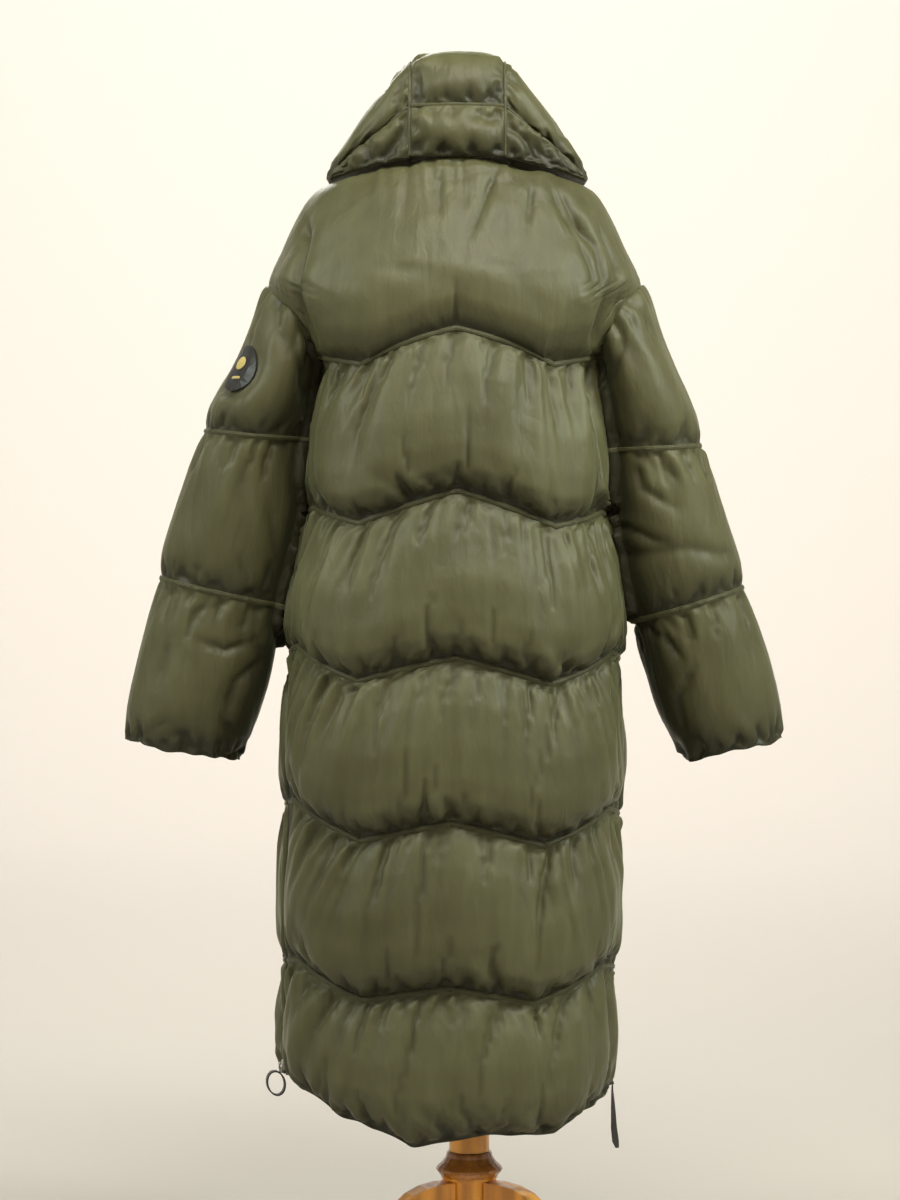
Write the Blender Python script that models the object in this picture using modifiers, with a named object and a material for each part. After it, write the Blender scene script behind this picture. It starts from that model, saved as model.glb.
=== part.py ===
"""Long puffer coat with a hood, hanging on a limbless dress form with a turned wooden stand.

Metres, +Z up, +Y the way the coat faces, +X to the wearer's right, origin on the floor.
Every quilted tier is one padded wall: a plain inside with the padding raised over it.
"""
import math

import bmesh
import bpy
from mathutils import Matrix, Vector
from mathutils.bvhtree import BVHTree

COAT = "long_puffer_coat"

# ---------------------------------------------------------------- driving dimensions
GAP = 0.0003               # clearance between two sewn pieces
SEAM_WALL = 0.0040         # stitched-down thickness at every seam
BACK_PUFF = 0.0230         # padding raised over the seam wall, widest part of the back
FRONT_PUFF = 0.0170
SIDE_PUFF = 0.0100         # what is left of it beside the side seams
EDGE_RISE = 0.018          # distance over which padding rises from an upright seam
GATHER = 0.0055            # depth of the gathers beside the quilting seams
SQUARENESS = 0.90          # 1 is an ellipse, less is a boxier section

# Sections of the body's inside, from below the hem up to the neck seam. `run` is measured
# up the side; the three heights part near the neck, where the rings lean forward.
BODY_COLUMNS = ("run", "side_z", "back_z", "front_z", "half_width", "back", "front", "centre_x")
BODY = (
    (0.200, 0.200, 0.200, 0.200, 0.197, 0.160, 0.152, -0.017),
    (0.300, 0.300, 0.300, 0.300, 0.200, 0.164, 0.156, -0.015),
    (0.450, 0.450, 0.450, 0.450, 0.202, 0.167, 0.159, -0.010),
    (0.650, 0.650, 0.650, 0.650, 0.204, 0.167, 0.159, -0.006),
    (0.850, 0.850, 0.850, 0.850, 0.200, 0.165, 0.156, -0.003),
    (1.000, 1.000, 1.000, 1.000, 0.182, 0.158, 0.149, 0.000),
    (1.100, 1.100, 1.100, 1.100, 0.172, 0.152, 0.144, 0.000),
    (1.180, 1.180, 1.180, 1.180, 0.167, 0.148, 0.141, 0.000),
    (1.205, 1.205, 1.205, 1.205, 0.188, 0.146, 0.139, -0.001),
    (1.240, 1.240, 1.240, 1.240, 0.211, 0.142, 0.136, -0.002),
    (1.280, 1.280, 1.280, 1.275, 0.223, 0.136, 0.131, -0.003),
    (1.325, 1.325, 1.325, 1.310, 0.205, 0.125, 0.122, -0.004),
    (1.370, 1.370, 1.370, 1.335, 0.184, 0.110, 0.110, -0.004),
    (1.400, 1.393, 1.394, 1.346, 0.167, 0.102, 0.102, -0.003),
    (1.430, 1.405, 1.410, 1.353, 0.139, 0.097, 0.095, -0.002),
    (1.460, 1.413, 1.422, 1.358, 0.105, 0.093, 0.090, -0.001),
    (1.485, 1.420, 1.433, 1.362, 0.078, 0.089, 0.086, 0.000),
)
NECK_RUN = 1.485

# Chevron seams round the body, lowest first. Heights at the centre-back peak, the low
# point beside it, the outer peak and at centre front; lows and peaks at these angles.
# `tilt` is how much higher the left side hangs than the middle.
SEAM_COLUMNS = ("centre", "low", "peak", "front", "low_deg", "peak_deg", "tilt")
SEAMS = (
    (0.249, 0.256, 0.290, 0.290, 30.0, 60.0, 0.006),      # hem, shaped by the next table
    (0.430, 0.412, 0.449, 0.440, 28.0, 62.0, 0.004),
    (0.628, 0.602, 0.642, 0.632, 30.0, 66.0, 0.006),
    (0.826, 0.795, 0.832, 0.826, 32.0, 70.0, 0.004),
    (1.026, 0.985, 1.003, 1.018, 37.0, 72.0, 0.003),
    (1.222, 1.180, 1.194, 1.200, 41.0, 74.0, 0.000),      # under the arms
)
HEM = ((-180.0, 0.290), (-100.0, 0.302), (-70.0, 0.306), (-53.0, 0.298), (-38.0, 0.277),
       (-20.0, 0.259), (-9.0, 0.239), (1.0, 0.248), (17.0, 0.254), (38.0, 0.250),
       (53.0, 0.272), (86.0, 0.286), (120.0, 0.289), (180.0, 0.290))
TOP_SEAM = len(SEAMS) - 1
BACK_SPANS = (2, 4, 5, 5, 4, 2)        # columns between side, peak, low, centre and so on
FRONT_TURNS = (104.4, 135.0, 165.6)    # low, peak, low between the side seam and the front
FRONT_SPANS = (1, 3, 3, 2)
SIDE_SEAM_LEFT = -76.0     # where the side seams and zips stand, in degrees from the back
SIDE_SEAM_RIGHT = 86.0
SIDE_SEAM_TURN = (0.83, 1.18)          # heights between which they swing to the underarm
ZIP_SEAM = 3                # the side zips run from the hem up to this seam
ZIP_HALF = 0.0050          # half the width of a zip's chain and tape
ZIP_WALL = 0.0030
ZIP_END = 0.0020           # how far a zip stops short of the hem, and of the seam above
ZIP_NECK_END = 0.0040      # and of the neck
SIDE_ZIP_ROWS, FRONT_ZIP_ROWS = 10, 22
SIDE_FROM, SIDE_SPAN = 0.70, 0.30      # padding thins where the angle's sine passes these
SECTION_ROUND = 1.12       # radius beside a side seam as a share of the depth to the back
GATHER_BELOW, GATHER_ABOVE = 0.20, 0.25    # shares of a tier that gathers reach from its seams
GATHER_START = 0.04

# Rows of one tier and the padding on each, from its lower seam (0) to its upper (1).
TIER_ROWS = (0.0, 0.045, 0.14, 0.32, 0.58, 0.84, 1.0)
TIER_PAD = ((0.0, 0.0), (0.045, 0.50), (0.14, 0.86), (0.30, 1.0), (0.52, 0.93),
            (0.76, 0.68), (0.92, 0.34), (1.0, 0.0))
INNER_ROWS = (0.0, 0.32, 0.84, 1.0)

# Armholes: an oval let into each side of the body.
ARM_LOW, ARM_TOP = 1.190, 1.280
ARM_SPREAD = 27.0          # degrees round the body to either side of the oval's middle
YOKE_EDGE_START = 0.05     # share of the height over which the side edges leave the seam
YOKE_EDGE_POWER = 6        # how closely heights follow the armhole beside its edge
YOKE_ROWS = (0.0, 0.012, 0.05, 0.11, 0.18, 0.25, 0.292, 0.305,
             0.40, 0.49, 0.56, 0.62, 0.68, 0.75, 0.85, 1.0)
YOKE_INNER_ROWS = (0.0, 0.05, 0.18, 0.292, 0.305, 0.40, 0.49, 0.56, 0.62, 0.68, 0.75, 0.85, 1.0)
YOKE_PAD = ((0.0, 0.0), (0.05, 0.45), (0.12, 0.80), (0.25, 0.92), (0.45, 0.62),
            (0.63, 0.32), (0.75, 0.16), (0.87, 0.12), (1.0, 0.0))

# Sleeves: rings square to the arm from the armhole (0) over two seams (1, 2) to the cuff
# (3). Offsets are from the coat's middle; `lean` is how far the ring's plane is tipped.
SLEEVE_COLUMNS = ("place", "out", "forward", "height", "half_width", "half_depth", "lean")
SLEEVE_LEFT = (
    (0.0, 0.200, 0.000, 1.235, 0.056, 0.070, 54.0),
    (0.35, 0.2180, 0.000, 1.180, 0.038, 0.074, 30.0),
    (0.65, 0.2360, 0.001, 1.140, 0.046, 0.072, 12.0),
    (1.0, 0.2515, 0.003, 1.096, 0.0570, 0.068, 4.0),
    (1.5, 0.2680, 0.007, 1.000, 0.0665, 0.060, 9.0),
    (2.0, 0.2950, 0.012, 0.901, 0.0715, 0.056, 12.8),
    (2.5, 0.3195, 0.017, 0.802, 0.0665, 0.054, 13.0),
    (3.0, 0.3470, 0.022, 0.704, 0.0615, 0.052, 9.8),
)
SLEEVE_RIGHT = (
    (0.0, 0.198, 0.000, 1.235, 0.056, 0.070, 54.0),
    (0.35, 0.2150, 0.000, 1.180, 0.036, 0.074, 30.0),
    (0.65, 0.2310, 0.001, 1.135, 0.042, 0.072, 12.0),
    (1.0, 0.2425, 0.003, 1.080, 0.0550, 0.068, 2.0),
    (1.5, 0.2595, 0.007, 0.985, 0.0600, 0.062, 11.0),
    (2.0, 0.2900, 0.012, 0.886, 0.0640, 0.059, 17.0),
    (2.5, 0.3185, 0.017, 0.796, 0.0600, 0.057, 15.5),
    (3.0, 0.3480, 0.022, 0.7055, 0.0520, 0.057, 12.9),
)
SLEEVE_PUFF = 0.0110
SLEEVE_GATHER = 0.6         # share of the body's gathers that the sleeves have
SLEEVE_COLS = 24
SLEEVE_TIERS = 3
SLEEVE_KEEP = 0.0008        # share of a tier kept clear at each of its seams
SLEEVE_ROWS = (0.0, 0.07, 0.25, 0.55, 0.85, 1.0)
SLEEVE_INNER_ROWS = (0.0, 0.55, 1.0)
SLEEVE_CLEAR = 0.0010      # how far the sleeve's end stands off the armhole's outer edge
ARMPIT_CLEAR = 0.0070      # and how much further under the arm
SLEEVE_HEAD = 0.60         # place up to which the armhole's oval still shapes the sleeve
SLEEVE_FACE_FROM = 0.06    # nearer the armhole the outward direction no longer turns
SLEEVE_FREE = (1.8, 2.2)   # places between which the side next to the body gets full padding
SLEEVE_THIN = 0.85         # share of the padding that side lacks above them

# Hood: a centre strip from the nape over the neck to the brim, and two side panels.
STRIP_HALF = 0.0560        # half the centre strip's width
STRIP_COLUMNS = ("place", "y", "z", "bow")
STRIP = (
    (0.00, -0.0885, 1.4350, 0.004),
    (0.10, -0.0910, 1.4650, 0.007),
    (0.20, -0.0880, 1.4970, 0.006),
    (0.30, -0.0830, 1.5250, 0.005),
    (0.38, -0.0700, 1.5470, 0.003),
    (0.46, -0.0440, 1.5545, 0.001),
    (0.56, 0.0050, 1.5550, 0.001),
    (0.66, 0.0480, 1.5520, 0.001),
    (0.74, 0.0750, 1.5300, 0.004),
    (0.86, 0.1080, 1.4620, 0.007),
    (1.00, 0.1420, 1.3930, 0.006),
)
STRIP_KEEP = 0.0010        # clearance of the side panels' inside beside the strip
STRIP_SEAM = 0.20          # where the level seam crosses it
STRIP_FOLD = 0.62          # where its back half is joined to the front half
STRIP_PIECES = (("hood_centre_lower", 0.0, STRIP_SEAM, 5),
                ("hood_centre_upper", STRIP_SEAM, STRIP_FOLD, 8),
                ("hood_centre_front", STRIP_FOLD, 1.0, 6))
STRIP_END = 0.0015         # share of the strip left out at each end of a piece
STRIP_COLS = 8
STRIP_EDGE_POWER = 6       # how late the strip's padding falls off towards its edges
# The side panels' foot: over the yoke to the shoulder corner, then the brim to the front.
FOOT_COLUMNS = ("place", "x", "y", "z")
FOOT = (
    (0.00, 0.0565, -0.0870, 1.4335),
    (0.08, 0.0860, -0.0820, 1.4280),
    (0.16, 0.1240, -0.0620, 1.4200),
    (0.24, 0.1560, -0.0300, 1.4120),
    (0.40, 0.1610, 0.0150, 1.4080),
    (0.60, 0.1480, 0.0720, 1.4000),
    (0.80, 0.1120, 0.1150, 1.3920),
    (1.00, 0.0720, 0.1380, 1.3910),
)
FOOT_CORNER = 0.24
HOOD_PUFF = 0.0065
SIDE_BOW = 0.0020          # how far the slanting seams bow out, in this direction
SIDE_BOW_WAY = (0.54, -0.64, 0.54)
SIDE_BELLY = -0.0050       # how far the upper side panels belly out; they hang hollow
SIDE_BELLY_WAY = (0.8, 0.0, 0.6)
SIDE_SLANT = 0.25          # share of an upper side panel that follows the slanting seam
SIDE_LIFT = 0.0040         # height of the slanting seam over the foot at the corner
SIDE_END = 0.0120          # share of a side panel left out along its edges
STRIP_SIDE_END = 0.0020    # and beside the centre strip
SIDE_TAPER = 6.0           # how steeply its padding rises from its two ends
SIDE_LOWER_COLS, SIDE_UPPER_COLS = 7, 16
HOOD_ROWS = (0.0, 0.18, 0.45, 0.75, 0.93, 1.0)
HOOD_INNER_ROWS = (0.0, 0.45, 1.0)

# Large folds pressed into the outside: piece, both ends (x, z), depth and half width.
FOLDS = (
    ("back_tier_1", -0.185, 1.372, -0.186, 1.262, 0.0080, 0.010),
    ("back_tier_1", -0.186, 1.262, -0.168, 1.200, 0.0075, 0.010),
    ("back_tier_1", 0.138, 1.385, 0.172, 1.330, 0.0060, 0.009),
    ("back_tier_1", 0.172, 1.330, 0.164, 1.215, 0.0080, 0.010),
    ("back_tier_1", 0.140, 1.345, 0.158, 1.225, 0.0050, 0.008),
    ("back_tier_2", 0.085, 1.130, 0.150, 1.060, 0.0050, 0.012),
    ("back_tier_3", -0.060, 0.960, -0.110, 0.850, 0.0050, 0.012),
    ("back_tier_4", 0.050, 0.770, 0.120, 0.690, 0.0050, 0.012),
    ("back_tier_5", -0.090, 0.570, -0.040, 0.470, 0.0050, 0.012),
    ("back_tier_6", 0.060, 0.390, 0.120, 0.300, 0.0050, 0.012),
)

# Badge on the left sleeve: a bare round patch.
BADGE_RADIUS = 0.031
BADGE_WALL = 0.0022
BADGE_LIFT = 0.0017
BADGE_PLACE = 0.52         # along the sleeve, in seams from the armhole
BADGE_TURN = 42.0          # degrees from the sleeve's outer side towards the back
BADGE_RINGS = 3
BADGE_SIDES = 20
BADGE_SIGHT = 0.08         # height over the sleeve from which its outside is sought

# Dress form. Below the shoulders it is slimmer than the coat; over them it carries it.
FORM_COLUMNS = ("height", "half_width", "back", "front", "centre_x")
FORM = (
    (0.740, 0.120, 0.085, 0.080, 0.010),
    (0.755, 0.148, 0.105, 0.098, 0.009),
    (0.850, 0.166, 0.118, 0.108, 0.008),
    (0.950, 0.150, 0.105, 0.100, 0.006),
    (1.040, 0.124, 0.090, 0.092, 0.004),
    (1.120, 0.136, 0.100, 0.104, 0.002),
    (1.220, 0.151, 0.114, 0.112, 0.000),
    (1.300, 0.158, 0.108, 0.102, 0.000),
    (1.325, 0.162, 0.104, 0.098, 0.000),
)
FORM_REST = 0.0020         # clearance between the form's shoulders and the coat
FORM_SHOULDER_RUNS = (1.385, 1.400, 1.415, 1.430, 1.445, 1.460, 1.475, 1.492)
FORM_NECK = (
    (1.455, 0.061, 0.068, 0.062, 0.000),
    (1.500, 0.0575, 0.064, 0.052, 0.000),
    (1.543, 0.0560, 0.062, 0.046, 0.000),
    (1.5525, 0.0520, 0.056, 0.038, 0.000),
)
FORM_COLS = 24

# Stand: turned column, stained collar, hub and three cabriole legs. Turned profiles are
# (radius, height) from the top down; leg outlines are (distance from the axis, height).
STAND_X, STAND_Y = 0.0150, -0.0200
STAND_FACETS = 20
COLUMN = ((0.0180, 0.7397), (0.0250, 0.7387), (0.0250, 0.4500), (0.0250, 0.2060))
COLLAR = ((0.0270, 0.2055), (0.0282, 0.2030), (0.0290, 0.1990), (0.0330, 0.1930), (0.0405, 0.1860),
          (0.0415, 0.1830), (0.0385, 0.1790), (0.0360, 0.1763))
HUB = ((0.0360, 0.1760), (0.0350, 0.1722), (0.0272, 0.1712), (0.0265, 0.1680), (0.0265, 0.0700),
       (0.0300, 0.0640), (0.0300, 0.0560), (0.0200, 0.0480), (0.0080, 0.0440))
LEG_COUNT = 3
LEG_FIRST_TURN = 90.0      # the first leg points the way the coat faces
LEG_THICK = 0.0240
LEG_UPPER = ((0.0270, 0.1700), (0.0450, 0.1700), (0.0660, 0.1670), (0.0850, 0.1600),
             (0.1000, 0.1490), (0.1140, 0.1310), (0.1250, 0.1080), (0.1360, 0.0820),
             (0.1500, 0.0560), (0.1700, 0.0380), (0.1960, 0.0280), (0.2180, 0.0230),
             (0.2250, 0.0140))
LEG_UNDER = ((0.2230, 0.0000), (0.1960, 0.0000), (0.1800, 0.0060), (0.1480, 0.0180),
             (0.1180, 0.0420), (0.0980, 0.0760), (0.0760, 0.1000), (0.0520, 0.1040),
             (0.0270, 0.0800))

# Zip sliders, their wire links and the straps that hang from them. Sizes are across the
# zip, along it and outwards.
SLIDER_SIZE = (0.0090, 0.0120, 0.0045)
SLIDER_ABOVE_HEM = 0.0120
SLIDER_BEVEL = 0.0008
BRIDGE_RADIUS = 0.0034
BRIDGE_WIRE = 0.0009
LINK_RADIUS = 0.0044
LINK_WIRE = 0.0008
RING_STEPS = 12
WIRE_STEPS = 5
STRAP_WALL = 0.0018
STRAP_COLUMNS = ("down", "out", "half_width", "twist")
STRAP_LONG = (
    (0.000, 0.000, 0.0024, 0.0),
    (0.010, 0.000, 0.0026, 10.0),
    (0.030, 0.001, 0.0034, 35.0),
    (0.055, 0.002, 0.0042, 48.0),
    (0.072, 0.004, 0.0046, 52.0),
    (0.080, 0.006, 0.0022, 54.0),
)
STRAP_SHORT = (
    (0.000, 0.000, 0.0030, 0.0),
    (0.012, 0.000, 0.0040, 0.0),
    (0.030, 0.000, 0.0040, 0.0),
    (0.036, 0.000, 0.0022, 0.0),
)
CURL_HALF_WIDE, CURL_HALF_TALL = 0.0118, 0.0160   # the left strap, curled into a ring
CURL_BAND = 0.0080
CURL_LEAN = -16.0
CURL_HELD = -50.0          # where round the curl its link holds it, in degrees from its top
CURL_STEPS = 24
SLIDER_BELOW_NECK = 0.0140


# ---------------------------------------------------------------- small tools
def read(rows, names, key, name):
    """One column of a table at `key`, smoothly between rows, straight beyond the ends."""
    column = names.index(name)
    places = [row[0] for row in rows]
    values = [row[column] for row in rows]
    last = len(rows) - 1
    i = 0
    while i < last - 1 and key > places[i + 1]:
        i += 1

    def slope(k):
        low, high = max(k - 1, 0), min(k + 1, last)
        return (values[high] - values[low]) / (places[high] - places[low])

    span = places[i + 1] - places[i]
    t = (key - places[i]) / span
    if t < 0.0:
        return values[i] + slope(i) * (key - places[i])
    if t > 1.0:
        return values[i + 1] + slope(i + 1) * (key - places[i + 1])
    square, cube = t * t, t * t * t
    return ((2 * cube - 3 * square + 1) * values[i]
            + (cube - 2 * square + t) * span * slope(i)
            + (3 * square - 2 * cube) * values[i + 1]
            + (cube - square) * span * slope(i + 1))


def straight(points, key):
    """Straight-line reading of (place, value) pairs."""
    for (a, low), (b, high) in zip(points, points[1:]):
        if key <= b:
            return low + (high - low) * max(0.0, (key - a) / (b - a))
    return points[-1][1]


def smooth(x):
    x = min(max(x, 0.0), 1.0)
    return x * x * (3.0 - 2.0 * x)


def spread(stops, counts):
    """Places between stops, each span cut into its own number of equal steps."""
    places = [stops[0]]
    for low, high, count in zip(stops, stops[1:], counts):
        places += [low + (high - low) * k / count for k in range(1, count + 1)]
    return places


def chance(a, b):
    """An even, repeatable value from 0 to 1 for a pair of numbers."""
    value = math.sin(a * 12.9898 + b * 78.233) * 43758.5453
    return value - math.floor(value)


def signed_power(value, power):
    return math.copysign(abs(value) ** power, value)


def segment_distance(px, pz, ax, az, bx, bz):
    """Distance from a point to a stretch of a line."""
    dx, dz = bx - ax, bz - az
    along = ((px - ax) * dx + (pz - az) * dz) / (dx * dx + dz * dz)
    held = min(max(along, 0.0), 1.0)
    return math.hypot(px - ax - held * dx, pz - az - held * dz)


# ---------------------------------------------------------------- scene and materials
def clear_scene():
    for old in list(bpy.data.objects):
        bpy.data.objects.remove(old, do_unlink=True)


def material(name, colour, roughness, metallic=0.0):
    made = bpy.data.materials.new(name)
    made.use_nodes = True
    surface = made.node_tree.nodes["Principled BSDF"]
    surface.inputs["Base Color"].default_value = (*colour, 1.0)
    surface.inputs["Roughness"].default_value = roughness
    surface.inputs["Metallic"].default_value = metallic
    made.diffuse_color = (*colour, 1.0)
    return made


def finish(name, mesh, look, sharp_deg=50.0):
    """Put a mesh in the coat's collection as one smooth-shaded object."""
    made = bpy.data.objects.new(name, mesh)
    parts.objects.link(made)
    mesh.materials.clear()
    mesh.materials.append(look)
    mesh.shade_smooth()
    mesh.set_sharp_from_angle(angle=math.radians(sharp_deg))
    return made


# ---------------------------------------------------------------- cloth walls
def join_rows(bm, low, high, closed):
    """Quads between two rows of as many points each."""
    count = len(low)
    for k in range(count if closed else count - 1):
        nxt = (k + 1) % count
        bm.faces.new((low[k], low[nxt], high[nxt], high[k]))


def join_uneven(bm, near, far, near_keys, far_keys):
    """Triangles between two edges whose points stand at different places."""
    i, j = 0, 0
    while i < len(near) - 1 or j < len(far) - 1:
        step_near = j == len(far) - 1 or (
            i < len(near) - 1 and near_keys[i + 1] <= far_keys[j + 1])
        if step_near:
            bm.faces.new((near[i], near[i + 1], far[j]))
            i += 1
        else:
            bm.faces.new((near[i], far[j + 1], far[j]))
            j += 1


def wall(name, columns, rows, inner_rows, point, look, closed=False):
    """A padded wall. `point(column, row, side)` gives its outside (1) and inside (0)."""
    bm = bmesh.new()
    outer = [[bm.verts.new(point(c, r, 1)) for c in columns] for r in rows]
    inner = [[bm.verts.new(point(c, r, 0)) for c in columns] for r in inner_rows]
    for grid in (outer, inner):
        for low, high in zip(grid, grid[1:]):
            join_rows(bm, low, high, closed)
    join_rows(bm, outer[0], inner[0], closed)
    join_rows(bm, outer[-1], inner[-1], closed)
    if not closed:
        for edge in (0, -1):
            join_uneven(bm, [row[edge] for row in outer], [row[edge] for row in inner],
                        rows, inner_rows)
    bmesh.ops.recalc_face_normals(bm, faces=bm.faces)
    mesh = bpy.data.meshes.new(name)
    bm.to_mesh(mesh)
    bm.free()
    return finish(name, mesh, look)


def facing(surface, a, b, step_a, step_b):
    """Direction square to a surface function at (a, b)."""
    across = surface(a + step_a, b) - surface(a - step_a, b)
    along = surface(a, b + step_b) - surface(a, b - step_b)
    return across.cross(along).normalized()


# ---------------------------------------------------------------- the body's surface
def body(deg, run):
    """The inside of the coat's body: angle from centre back, and height up the side."""
    turn = math.radians(deg)
    sine, cosine = math.sin(turn), math.cos(turn)
    half = read(BODY, BODY_COLUMNS, run, "half_width")
    depth = read(BODY, BODY_COLUMNS, run, "back" if cosine > 0 else "front")
    side_z = read(BODY, BODY_COLUMNS, run, "side_z")
    middle_z = read(BODY, BODY_COLUMNS, run, "back_z" if cosine > 0 else "front_z")
    return Vector((
        read(BODY, BODY_COLUMNS, run, "centre_x") + half * signed_power(sine, SQUARENESS),
        -depth * signed_power(cosine, SQUARENESS),
        side_z + (middle_z - side_z) * cosine * cosine))


def body_facing(deg, run):
    """Outward direction on the body; never downwards, so tiers cannot cross their seams."""
    out = facing(body, deg, run, 1.5, 0.006)
    out.z = max(out.z, 0.0)
    return out.normalized()


def side_seam(sign, run):
    """Where the side seam stands at a height; it swings forward to the underarm."""
    low, high = SIDE_SEAM_TURN
    lower_deg = SIDE_SEAM_RIGHT if sign > 0 else SIDE_SEAM_LEFT
    return lower_deg + (sign * 90.0 - lower_deg) * smooth((run - low) / (high - low))


def arc_radius(run):
    """Rough radius of the section beside a side seam."""
    return read(BODY, BODY_COLUMNS, min(run, ARM_TOP), "back") * SECTION_ROUND


def degrees_across(run, distance):
    """The angle that a distance along the section spans beside a side seam."""
    return math.degrees(distance / arc_radius(run))


def front_edge(run, distance):
    """The angle of a line at `distance` to one side of centre front."""
    half = read(BODY, BODY_COLUMNS, run, "half_width")
    return 180.0 - math.degrees(math.asin((distance / half) ** (1.0 / SQUARENESS)))


def seam_value(seam, name):
    return SEAMS[seam][SEAM_COLUMNS.index(name)]


def seam_height(seam, deg):
    """Height of a chevron seam, or of the hem, all round the body."""
    if seam == 0:
        return straight(HEM, deg)
    top, low, peak = (seam_value(seam, name) for name in ("centre", "low", "peak"))
    side = (90.0, ARM_LOW) if seam == TOP_SEAM else (FRONT_TURNS[0], (peak + low) / 2)
    heights = ((0.0, top), (seam_value(seam, "low_deg"), low), (seam_value(seam, "peak_deg"), peak),
               side, (FRONT_TURNS[1], peak), (FRONT_TURNS[2], low),
               (180.0, seam_value(seam, "front")))
    return straight(heights, abs(deg)) - seam_value(seam, "tilt") * math.sin(math.radians(deg))


def fold_depth(name, place):
    """How far the folds of a piece press its outside in at a place."""
    deepest = 0.0
    for piece, ax, az, bx, bz, depth, half in FOLDS:
        if piece == name:
            away = segment_distance(place.x, place.z, ax, az, bx, bz)
            deepest = max(deepest, depth * math.exp(-(away / half) ** 2))
    return deepest


def gather(column, tier, row):
    """Every second column is drawn in beside the seams, each by its own amount."""
    if column % 2 == 0:
        return 0.0
    near_seam = math.exp(-row / GATHER_BELOW) + math.exp((row - 1.0) / GATHER_ABOVE)
    return GATHER * (0.5 + 0.5 * chance(column, tier)) * near_seam * min(1.0, row / GATHER_START)


def padded(name, place, out, puff):
    """The outside point over an inside point, no thinner than the seam wall."""
    return place + out * max(SEAM_WALL + puff - fold_depth(name, place), SEAM_WALL)


def puff_allowed(deg, edges, run):
    """Padding at an angle: full on the back, less on the sides, none at upright edges."""
    across = abs(math.sin(math.radians(deg)))
    full = BACK_PUFF if abs(deg) < 90.0 else FRONT_PUFF
    amount = full + (SIDE_PUFF - full) * smooth((across - SIDE_FROM) / SIDE_SPAN)
    nearest = min(abs(deg - edge) for edge in edges)
    return amount * (1.0 - math.exp(-math.radians(nearest) * arc_radius(run) / EDGE_RISE))


def quilt(name, place, count, tier, rows, inner_rows, pads, look):
    """One quilted piece of the body; `place(column, row)` gives its angles and heights."""
    def point(column, row, side):
        deg, run = place(column, row)
        inside = body(deg, run)
        if not side:
            return inside
        edges = (place(0, row)[0], place(count - 1, row)[0])
        puff = puff_allowed(deg, edges, run) * straight(pads, row)
        puff = max(0.0, puff - gather(column, tier, row))
        return padded(name, inside, body_facing(deg, run), puff)

    return wall(name, range(count), rows, inner_rows, point, look)


def tier_places(seam, limits, low_turns, high_turns, spans, sign=1.0):
    """Places of a tier between two chevron seams; `limits(run)` are its upright edges."""
    lows = spread([limits(seam_value(seam, "peak"))[0], *low_turns,
                   limits(seam_value(seam, "peak"))[1]], spans)
    highs = spread([limits(seam_value(seam + 1, "peak"))[0], *high_turns,
                    limits(seam_value(seam + 1, "peak"))[1]], spans)
    slots = spread(range(len(spans) + 1), spans)

    def place(column, row):
        bottom = seam_height(seam, sign * lows[column]) + GAP / 2
        top = seam_height(seam + 1, sign * highs[column]) - GAP / 2
        run = bottom + (top - bottom) * row
        start, end = limits(run)
        turns = [start, *(a + (b - a) * row for a, b in zip(low_turns, high_turns)), end]
        slot = min(int(slots[column]), len(spans) - 1)
        return sign * (turns[slot] + (turns[slot + 1] - turns[slot]) * (slots[column] - slot)), run

    return place


def back_turns(seam):
    low, peak = seam_value(seam, "low_deg"), seam_value(seam, "peak_deg")
    return (-peak, -low, 0.0, low, peak)


def make_tiers(look):
    """The tiers under the yoke, back and both fronts."""
    for seam in range(TOP_SEAM):
        number = len(SEAMS) - seam
        keep = ZIP_HALF + GAP if seam < ZIP_SEAM else GAP / 2

        def back_limits(run, keep=keep):
            inset = degrees_across(run, keep)
            return side_seam(-1, run) + inset, side_seam(1, run) - inset

        place = tier_places(seam, back_limits, back_turns(seam), back_turns(seam + 1), BACK_SPANS)
        quilt(f"back_tier_{number}", place, sum(BACK_SPANS) + 1, number, TIER_ROWS, INNER_ROWS,
              TIER_PAD, look)
        for sign, label in ((-1, "left"), (1, "right")):
            def front_limits(run, keep=keep, sign=sign):
                return (abs(side_seam(sign, run)) + degrees_across(run, keep),
                        front_edge(run, ZIP_HALF + GAP))

            place = tier_places(seam, front_limits, FRONT_TURNS, FRONT_TURNS, FRONT_SPANS, sign)
            quilt(f"front_{label}_tier_{number}", place, sum(FRONT_SPANS) + 1, number, TIER_ROWS,
                  INNER_ROWS, TIER_PAD, look)


def arm_edge(run, back):
    """Angle of the armhole's edge at a height, on its back or its front half."""
    middle, half = (ARM_LOW + ARM_TOP) / 2, (ARM_TOP - ARM_LOW) / 2
    off = min(1.0, abs(run - middle) / half)
    reach = ARM_SPREAD * math.sqrt(1.0 - off * off)
    return 90.0 - reach if back else 90.0 + reach


def yoke_places(turns, back, sign=1.0):
    """Places of a top tier: its side edges pass the armhole, then follow the shoulder."""
    first, last = turns[0], turns[-1]

    def place(column, row):
        bottom = seam_height(TOP_SEAM, sign * turns[column]) + GAP / 2
        run = bottom + (NECK_RUN - bottom) * row
        edge_run = ARM_LOW + (NECK_RUN - ARM_LOW) * row
        edge = arm_edge(edge_run, back)
        keep = degrees_across(edge_run, GAP / 2)
        share = (turns[column] - first) / (last - first)
        near_edge = min(1.0, row / YOKE_EDGE_START)
        if back:
            near_edge *= abs(2.0 * share - 1.0) ** YOKE_EDGE_POWER
            deg = (2.0 * share - 1.0) * (edge - keep)
        else:
            near_edge *= (1.0 - share) ** YOKE_EDGE_POWER
            deg = edge + keep + (front_edge(run, ZIP_HALF + GAP) - edge - keep) * share
        return sign * deg, run + (edge_run - run) * near_edge

    return place


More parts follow.
